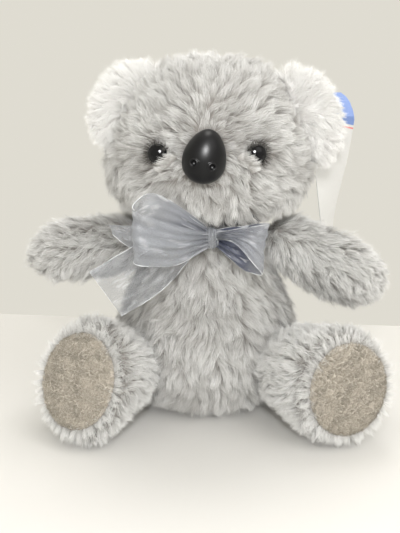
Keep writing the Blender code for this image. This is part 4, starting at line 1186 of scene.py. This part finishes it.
class KOALA_OT_head_pile(bpy.types.Operator):
    """Grey pile of the head, brushed out from the nose"""

    bl_idname = "koala.head_pile"
    bl_label = "Grow the head's pile"

    def execute(self, context):
        plush = context.scene.koala_plush
        nose_middle, _, nose_turn = nose_seat()
        nose_point = np.array(nose_middle)
        seats = [eye_seat(side) for side in SIDES.values()]
        eyes = [np.array(point) for point, _ in seats]

        def nose_distance(places):
            """1 on the nose's outline."""
            local = (places - nose_point) @ np.array(nose_turn)
            rise = local[:, 1] / NOSE_HALF_HEIGHT
            width = NOSE_HALF_WIDTH * (1 - NOSE_TAPER * (rise + 1) / 2)
            apart = np.sqrt((local[:, 0] / width) ** 2 + rise**2)
            return np.where(places[:, 1] < -0.02, apart, 9)

        def under_eye(places, eye):
            """How far places are on the lower, inner side of an eye, and from its middle."""
            apart = places - eye
            inward = -1 if eye[0] > 0 else 1
            return (apart[:, 0] * inward * 0.75 - apart[:, 2] * 0.65), np.linalg.norm(apart, axis=1)

        def keep(places, normals):
            chance = (nose_distance(places) > 0.86) * 1.0
            for eye in eyes:
                chance *= under_eye(places, eye)[1] > 0.0064
            chance *= places[:, 2] > NECK_HEIGHT + 0.0035
            return chance

        def comb(places, normals):
            away = places - nose_point
            back = ramp(places[:, 1], -0.030, 0.015)[:, None]
            chin = ramp(HEAD_LEVEL - places[:, 2], -0.010, 0.030)[:, None]
            headings = units(away) * (1 - back) + np.array((0, 0.5, -0.9)) * back
            headings = headings + np.array((0, 0, -1.0)) * chin * 0.9
            corner = ramp(abs(places[:, 0] - HEAD_SIDE), 0.034, 0.046)
            corner = corner * ramp(places[:, 2], 0.165, 0.185)
            headings = headings + np.array((0, 1.2, 0)) * corner[:, None]
            beside = ramp(nose_distance(places), 1.0, 2.6)
            share = (0.55 + 0.45 * beside) * (1 - 0.4 * corner)
            root = 0.95 - 0.20 * beside + 0.2 * corner
            tip = 1.45 - 0.03 * beside
            for eye in eyes:
                near = 1 - ramp(under_eye(places, eye)[1], 0.0070, 0.0120)
                headings = headings + units(places - eye) * near[:, None]
                share = share * (1 - 0.5 * near)
            return headings, share, root, tip

        def shade(places):
            """Painted shade: darker tone for the hair round the upper, outer side of each eye."""
            dark = np.zeros(len(places))
            for eye in eyes:
                low, reach = under_eye(places, eye)
                dark += (1 - ramp(reach, 0.006, 0.012)) * (1 - ramp(low, -0.003, 0.002))
            return dark * 0.5

        solids = ("nose_button", "ear_left_padding", "ear_right_padding")
        blockers = pieces("loop_", "tail_", "knot") + [bpy.data.objects[name] for name in solids]
        base = bpy.data.objects["head_padding"]
        options = {
            "seed": 7,
            "keep": keep,
            "blockers": blockers,
            "near": lambda places: (places[:, 1] < -0.015) | (places[:, 2] > 0.165),
            "shade": shade,
            "swirl": 0.60,
            "swirl_size": 0.022,
            "stray": 0.20,
        }
        grey = grey_finish()
        grow_pile("head_pile", base, "head", "grey_plush", grey, plush.face_length, comb, options)
        self.add_eye_hair(seats)
        return {"FINISHED"}

    def add_eye_hair(self, seats):
        """Light hair over the lower, inner part of each eye, and near-black strands of painted
        shade round the rest.
        """
        # Painted shade: near-black strands round each eye's upper, outer side, where the fur lies
        # in shade.
        colours = ((0.02, 0.018, 0.015), (0.03, 0.027, 0.024), (0.20, 0.19, 0.175))
        dark = pile_finish("shaded pile", *colours)
        grey = grey_finish()
        for (name, side), (point, normal) in zip(SIDES.items(), seats):
            rng = np.random.default_rng(60 + side)
            turn = frame_along(normal)
            inward = np.array((-side * 0.70, -0.71))
            beside = np.array((-inward[1], inward[0]))
            slide = rng.uniform(-0.0068, 0.0068, (240, 1))
            ragged = np.sin(slide * 2300 + side) * 0.0006 + rng.exponential(0.0007, (240, 1))
            roots = inward * rng.uniform(0.0060, 0.0092, (240, 1)) + beside * slide
            reach = (0.0018 if side > 0 else 0.0028) + ragged
            tips = inward * reach + beside * (slide + side * 0.0020)
            tips += rng.normal(size=tips.shape) * 0.0005

            def over_dome(flat, steps):
                dome = np.sqrt(np.maximum(0.0064**2 - (flat**2).sum(2), 0)) - 0.0018
                return np.maximum(dome, -0.0024) + steps * 0.0005

            seat = (point, turn)
            laid_pile(f"eye_{name}_fringe", *seat, roots, tips, over_dome, "head", grey, 0.45, rng)
            angles = rng.uniform(-1.9, 1.9, (220, 1)) + math.atan2(0.75, side * 0.66)
            outward = np.concatenate([np.cos(angles), np.sin(angles)], 1)
            roots = outward * rng.uniform(0.0048, 0.0062, (220, 1))
            tips = outward * rng.uniform(0.0068, 0.0098, (220, 1))
            tips = tips + rng.normal(size=roots.shape) * 0.0009

            def over_fur(flat, steps):
                return over_dome(flat, steps) * (1 - steps) + steps * 0.0030

            laid_pile(f"eye_{name}_lashes", *seat, roots, tips, over_fur, "head", dark, 0.3, rng)


class KOALA_OT_body_pile(bpy.types.Operator):
    """Grey pile of the body, brushed down and out from under the bow"""

    bl_idname = "koala.body_pile"
    bl_label = "Grow the body's pile"

    def execute(self, context):
        plush = context.scene.koala_plush

        def keep(places, normals):
            chance = (places[:, 2] < 0.1235) * 1.0
            return chance * (places[:, 2] > 0.0008)

        def comb(places, normals):
            out = np.stack([places[:, 0] * 16, np.zeros(len(places)), -np.ones(len(places))], 1)
            ones = np.ones(len(places))
            top = ramp(places[:, 2], 0.095, 0.122)
            return out, 1 - 0.35 * top, 0.80 + 0.2 * top, 1.38 + 0.05 * top

        blockers = pieces("loop_", "tail_", "knot")
        base = bpy.data.objects["body_padding"]
        options = {
            "seed": 11,
            "keep": keep,
            "blockers": blockers,
            "near": lambda places: (places[:, 1] < 0) & (places[:, 2] > 0.06),
            "hidden_by": [f"{limb}_{side}_padding" for limb in ("arm", "leg") for side in SIDES],
            "swirl": 0.40,
            "stray": 0.20,
            "bend": 0.30,
            # Painted shade: the body's pile is given a darker tone, for the lower light on the
            # belly under the bow.
            "tone": -0.06,
        }
        grey = grey_finish()
        grow_pile("body_pile", base, "body", "grey_plush", grey, plush.body_length, comb, options)
        return {"FINISHED"}


class KOALA_OT_limb_pile(bpy.types.Operator):
    """Grey pile of the arms and the legs, brushed out along them"""

    bl_idname = "koala.limb_pile"
    bl_label = "Grow the limbs' pile"

    def execute(self, context):
        plush = context.scene.koala_plush
        tails = pieces("loop_", "tail_")
        for name, side in SIDES.items():
            shoulder = np.array(HINGES[f"{name}_arm_raise"])
            low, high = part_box(f"arm_{name}_skin")
            along = units(np.array((low + high) / 2) - shoulder)

            def comb_arm(places, normals, along=along, shoulder=shoulder):
                reach = (places - shoulder) @ along
                headings = np.tile(along + np.array((0, 0, -0.35)), (len(places), 1))
                ones = np.ones(len(places))
                tip = ramp(reach, 0.035, 0.06)
                return headings, ones - 0.15 * tip, ones * 0.72, ones * 1.32

            base = bpy.data.objects[f"arm_{name}_padding"]
            options = {"seed": 20 + side, "blockers": tails, "hidden_by": ["body_padding"]}
            options |= {"spacing": 0.0032, "pull": 0.85}
            # Painted light: both arms' pile is made lighter, the left one more, for how the light
            # falls; the fur is the same as elsewhere.
            options["tone"] = 0.46 if side > 0 else 0.20
            piece = (f"arm_{name}_pile", base, f"{name}_arm", "grey_plush", grey_finish())
            grow_pile(*piece, plush.arm_length, comb_arm, options)
            middle, turn, half = pad_frame(name)
            facing = np.array(turn.col[2])
            centre = np.array(middle)

            def pad_share(places, turn=turn, half=half, centre=centre):
                local = (places - centre) @ np.array(turn)
                across, up = local[:, 0] / half.x, local[:, 1] / half.y
                return np.sqrt(across**2 + up**2), local[:, 2]

            def keep_leg(places, normals, facing=facing, pad_share=pad_share):
                under = (normals @ facing > 0.6) & (pad_share(places)[0] < 0.97)
                return ~under * 1.0

            def comb_leg(places, normals, facing=facing, centre=centre, pad_share=pad_share):
                front = ramp(normals @ facing, 0.45, 0.85)[:, None]
                apart = places - centre
                radial = apart - facing * (apart @ facing)[:, None]
                share, height = pad_share(places)
                rim = (1 - ramp(-height, 0.004, 0.022))[:, None]
                back = facing * (front - 1) * 0.8 * (1 - rim)
                headings = back + units(radial) * (0.4 + rim) + np.array((0, 0, -0.2))
                inward = np.sin(places @ np.array((900, 1300, 1100))) > 0.55
                inward = (inward & (share < 1.25))[:, None]
                headings = np.where(inward & (front > 0.5), -radial, headings)
                ones = np.ones(len(places))
                rim = rim[:, 0]
                return headings, ones - 0.1 * rim, 0.60 - 0.2 * rim, 1.20 - 0.25 * rim

            base = bpy.data.objects[f"leg_{name}_padding"]
            options = {"seed": 30 + side, "keep": keep_leg, "hidden_by": ["body_padding"]}
            # Painted light: the legs' tone is raised, for the light that falls on them.
            options |= {"tone": 0.30, "spacing": 0.0030, "pull": 0.75}
            options |= {"swirl": 0.9, "swirl_size": 0.014, "stray": 0.5}
            piece = (f"leg_{name}_pile", base, f"{name}_leg", "grey_plush", lit_leg_finish())
            grow_pile(*piece, plush.leg_length, comb_leg, options)
            self.add_ruff(name, middle, turn, half)
        return {"FINISHED"}

    def add_ruff(self, name, middle, turn, half):
        """The leg's hair round the edge of a foot pad, most of it outwards."""
        rng = np.random.default_rng(70 + SIDES[name])
        count = 2600
        angles = rng.uniform(0, 2 * math.pi, count)
        tufts = np.round(angles * 14).astype(int)
        ring = np.stack([np.cos(angles) * half.x, np.sin(angles) * half.y], 1)
        roots = ring * rng.uniform(0.965, 1.035, (count, 1))
        inwards = rng.random(count) < 0.15
        reach = np.where(inwards, -0.0024, 0.0068) * rng.uniform(0.6, 1.1, count)
        stray = rng.normal(size=(90, 2))[tufts] * 0.0014
        tips = roots + units(ring) * reach[:, None] + stray + rng.normal(size=roots.shape) * 0.0005
        rise = np.where(inwards, 0.0022, rng.uniform(-0.0020, 0.0030, count))

        def height(flat, steps):
            return -0.0004 + steps * (2 - steps) * rise

        piece = (f"leg_{name}_ruff", middle, turn, roots, tips, height, f"{name}_leg")
        laid_pile(*piece, lit_leg_finish(), 0.7, rng)


class KOALA_OT_ear_pile(bpy.types.Operator):
    """Long white pile of the ears"""

    bl_idname = "koala.ear_pile"
    bl_label = "Grow the ears' pile"

    def execute(self, context):
        plush = context.scene.koala_plush
        colours = (tuple(plush.white_root), tuple(plush.white_root), tuple(plush.white_light))
        white = pile_finish("white pile", *colours, root_height=0.4)
        for name, side in SIDES.items():
            root = np.array(HINGES[f"{name}_ear_flex"])
            low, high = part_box(f"ear_{name}_front")
            out = units(np.array((low + high) / 2) - root)

            def comb(places, normals, root=root, out=out):
                away = places - (root - out * 0.012)
                headings = units(away) + np.array((0, 0, -0.15))
                ones = np.ones(len(places))
                return headings, ones, ones * 0.55, ones * 1.1

            base = bpy.data.objects[f"ear_{name}_padding"]
            options = {"seed": 50 + side, "density": 1.3, "pull": 0.85, "spacing": 0.003}
            options["hidden_by"] = ["head_padding"]
            piece = (f"ear_{name}_pile", base, f"{name}_ear", "white_plush", white)
            grow_pile(*piece, plush.ear_length, comb, options)
        return {"FINISHED"}


class KOALA_OT_stage(bpy.types.Operator):
    """The table, the soft lights and the camera"""

    bl_idname = "koala.stage"
    bl_label = "Add the stage"

    def execute(self, context):
        stage = context.scene.koala_stage
        bm = bmesh.new()
        bmesh.ops.create_cube(bm, size=1)
        for vertex in bm.verts:
            vertex.co = (vertex.co.x * 2.4, vertex.co.y * 1.6 - 0.669, vertex.co.z * 0.05 - 0.025)
        turn = Matrix.Rotation(math.radians(-4.5), 3, "Z")
        bmesh.ops.rotate(bm, verts=bm.verts, cent=(0, 0.131, 0), matrix=turn)
        bmesh.ops.bevel(
            bm, geom=bm.edges[:], offset=0.002, segments=3, profile=0.5, affect="EDGES", material=-1
        )
        table = show("table_top", mesh_of(bm, "table"), table_finish(stage))
        world = bpy.data.worlds.new("room")
        world.use_nodes = True
        world.node_tree.nodes["Background"].inputs["Color"].default_value = (*stage.wall, 1)
        context.scene.world = world
        white, warm = (1.0, 1.0, 1.0), (1.0, 0.98, 0.95)
        self.add_light("window_light", (0.55, -0.5, 0.8), (0, 0, 0.1), 0.9, 3.2, (1.0, 0.99, 0.98))
        self.add_light("ceiling_light", (0.08, 0.50, 1.50), (0, -0.02, 0.08), 0.6, 7.5, warm)
        self.add_light("lamp_by_camera", (0.0, -0.52, 0.40), (0, 0, 0.10), 0.10, 1.7, white)
        gleam_place = (0.0, -0.50, 0.42)
        gleam = self.add_light("gleam_light", gleam_place, (0, 0, 0.10), 0.22, 10.0, white)
        gleam.visible_diffuse = False
        camera = bpy.data.objects.new("camera", bpy.data.cameras.new("camera"))
        context.scene.collection.objects.link(camera)
        camera.data.lens = stage.camera_lens
        camera.data.sensor_width = 36
        camera.data.clip_start = 0.01
        eye, target = Vector((-0.0045, -0.424, 0.230)), Vector((-0.0045, -0.015, 0.097))
        camera.location = eye
        camera.rotation_euler = (target - eye).to_track_quat("-Z", "Y").to_euler()
        context.scene.camera = camera
        context.scene.view_settings.view_transform = "Standard"
        return {"FINISHED"}

    def add_light(self, name, place, target, size, power, colour):
        light = bpy.data.lights.new(name, "AREA")
        light.shape = "DISK"
        light.size = size
        light.energy = power
        light.color = colour
        thing = bpy.data.objects.new(name, light)
        bpy.context.scene.collection.objects.link(thing)
        thing.location = place
        thing.rotation_euler = (Vector(target) - Vector(place)).to_track_quat("-Z", "Y").to_euler()
        return thing


OPERATORS = (
    KOALA_OT_padding,
    KOALA_OT_face,
    KOALA_OT_bow,
    KOALA_OT_tag,
    KOALA_OT_pads,
    KOALA_OT_head_pile,
    KOALA_OT_body_pile,
    KOALA_OT_limb_pile,
    KOALA_OT_ear_pile,
    KOALA_OT_stage,
)
GROUPS = {
    "koala_plush": KoalaPlush,
    "koala_face": KoalaFace,
    "koala_bow": KoalaBow,
    "koala_tag": KoalaTag,
    "koala_stage": KoalaStage,
}


class KOALA_PT_panel(bpy.types.Panel):
    """The koala's sizes, colours and pieces"""

    bl_idname = "KOALA_PT_panel"
    bl_label = "Koala"
    bl_space_type = "VIEW_3D"
    bl_region_type = "UI"
    bl_category = "Koala"

    def draw(self, context):
        for name, group in GROUPS.items():
            box = self.layout.box()
            for key in group.__annotations__:
                box.prop(getattr(context.scene, name), key)
        for operator in OPERATORS:
            self.layout.operator(operator.bl_idname)


def register():
    for group in (*GROUPS.values(), *OPERATORS, KOALA_PT_panel):
        bpy.utils.register_class(group)
    for name, group in GROUPS.items():
        setattr(bpy.types.Scene, name, PointerProperty(type=group))


def unregister():
    for name in GROUPS:
        delattr(bpy.types.Scene, name)
    for group in (KOALA_PT_panel, *reversed(OPERATORS), *GROUPS.values()):
        bpy.utils.unregister_class(group)


def main():
    register()
    for operator in OPERATORS:
        group, name = operator.bl_idname.split(".")
        getattr(getattr(bpy.ops, group), name)()


if __name__ == "__main__":
    main()
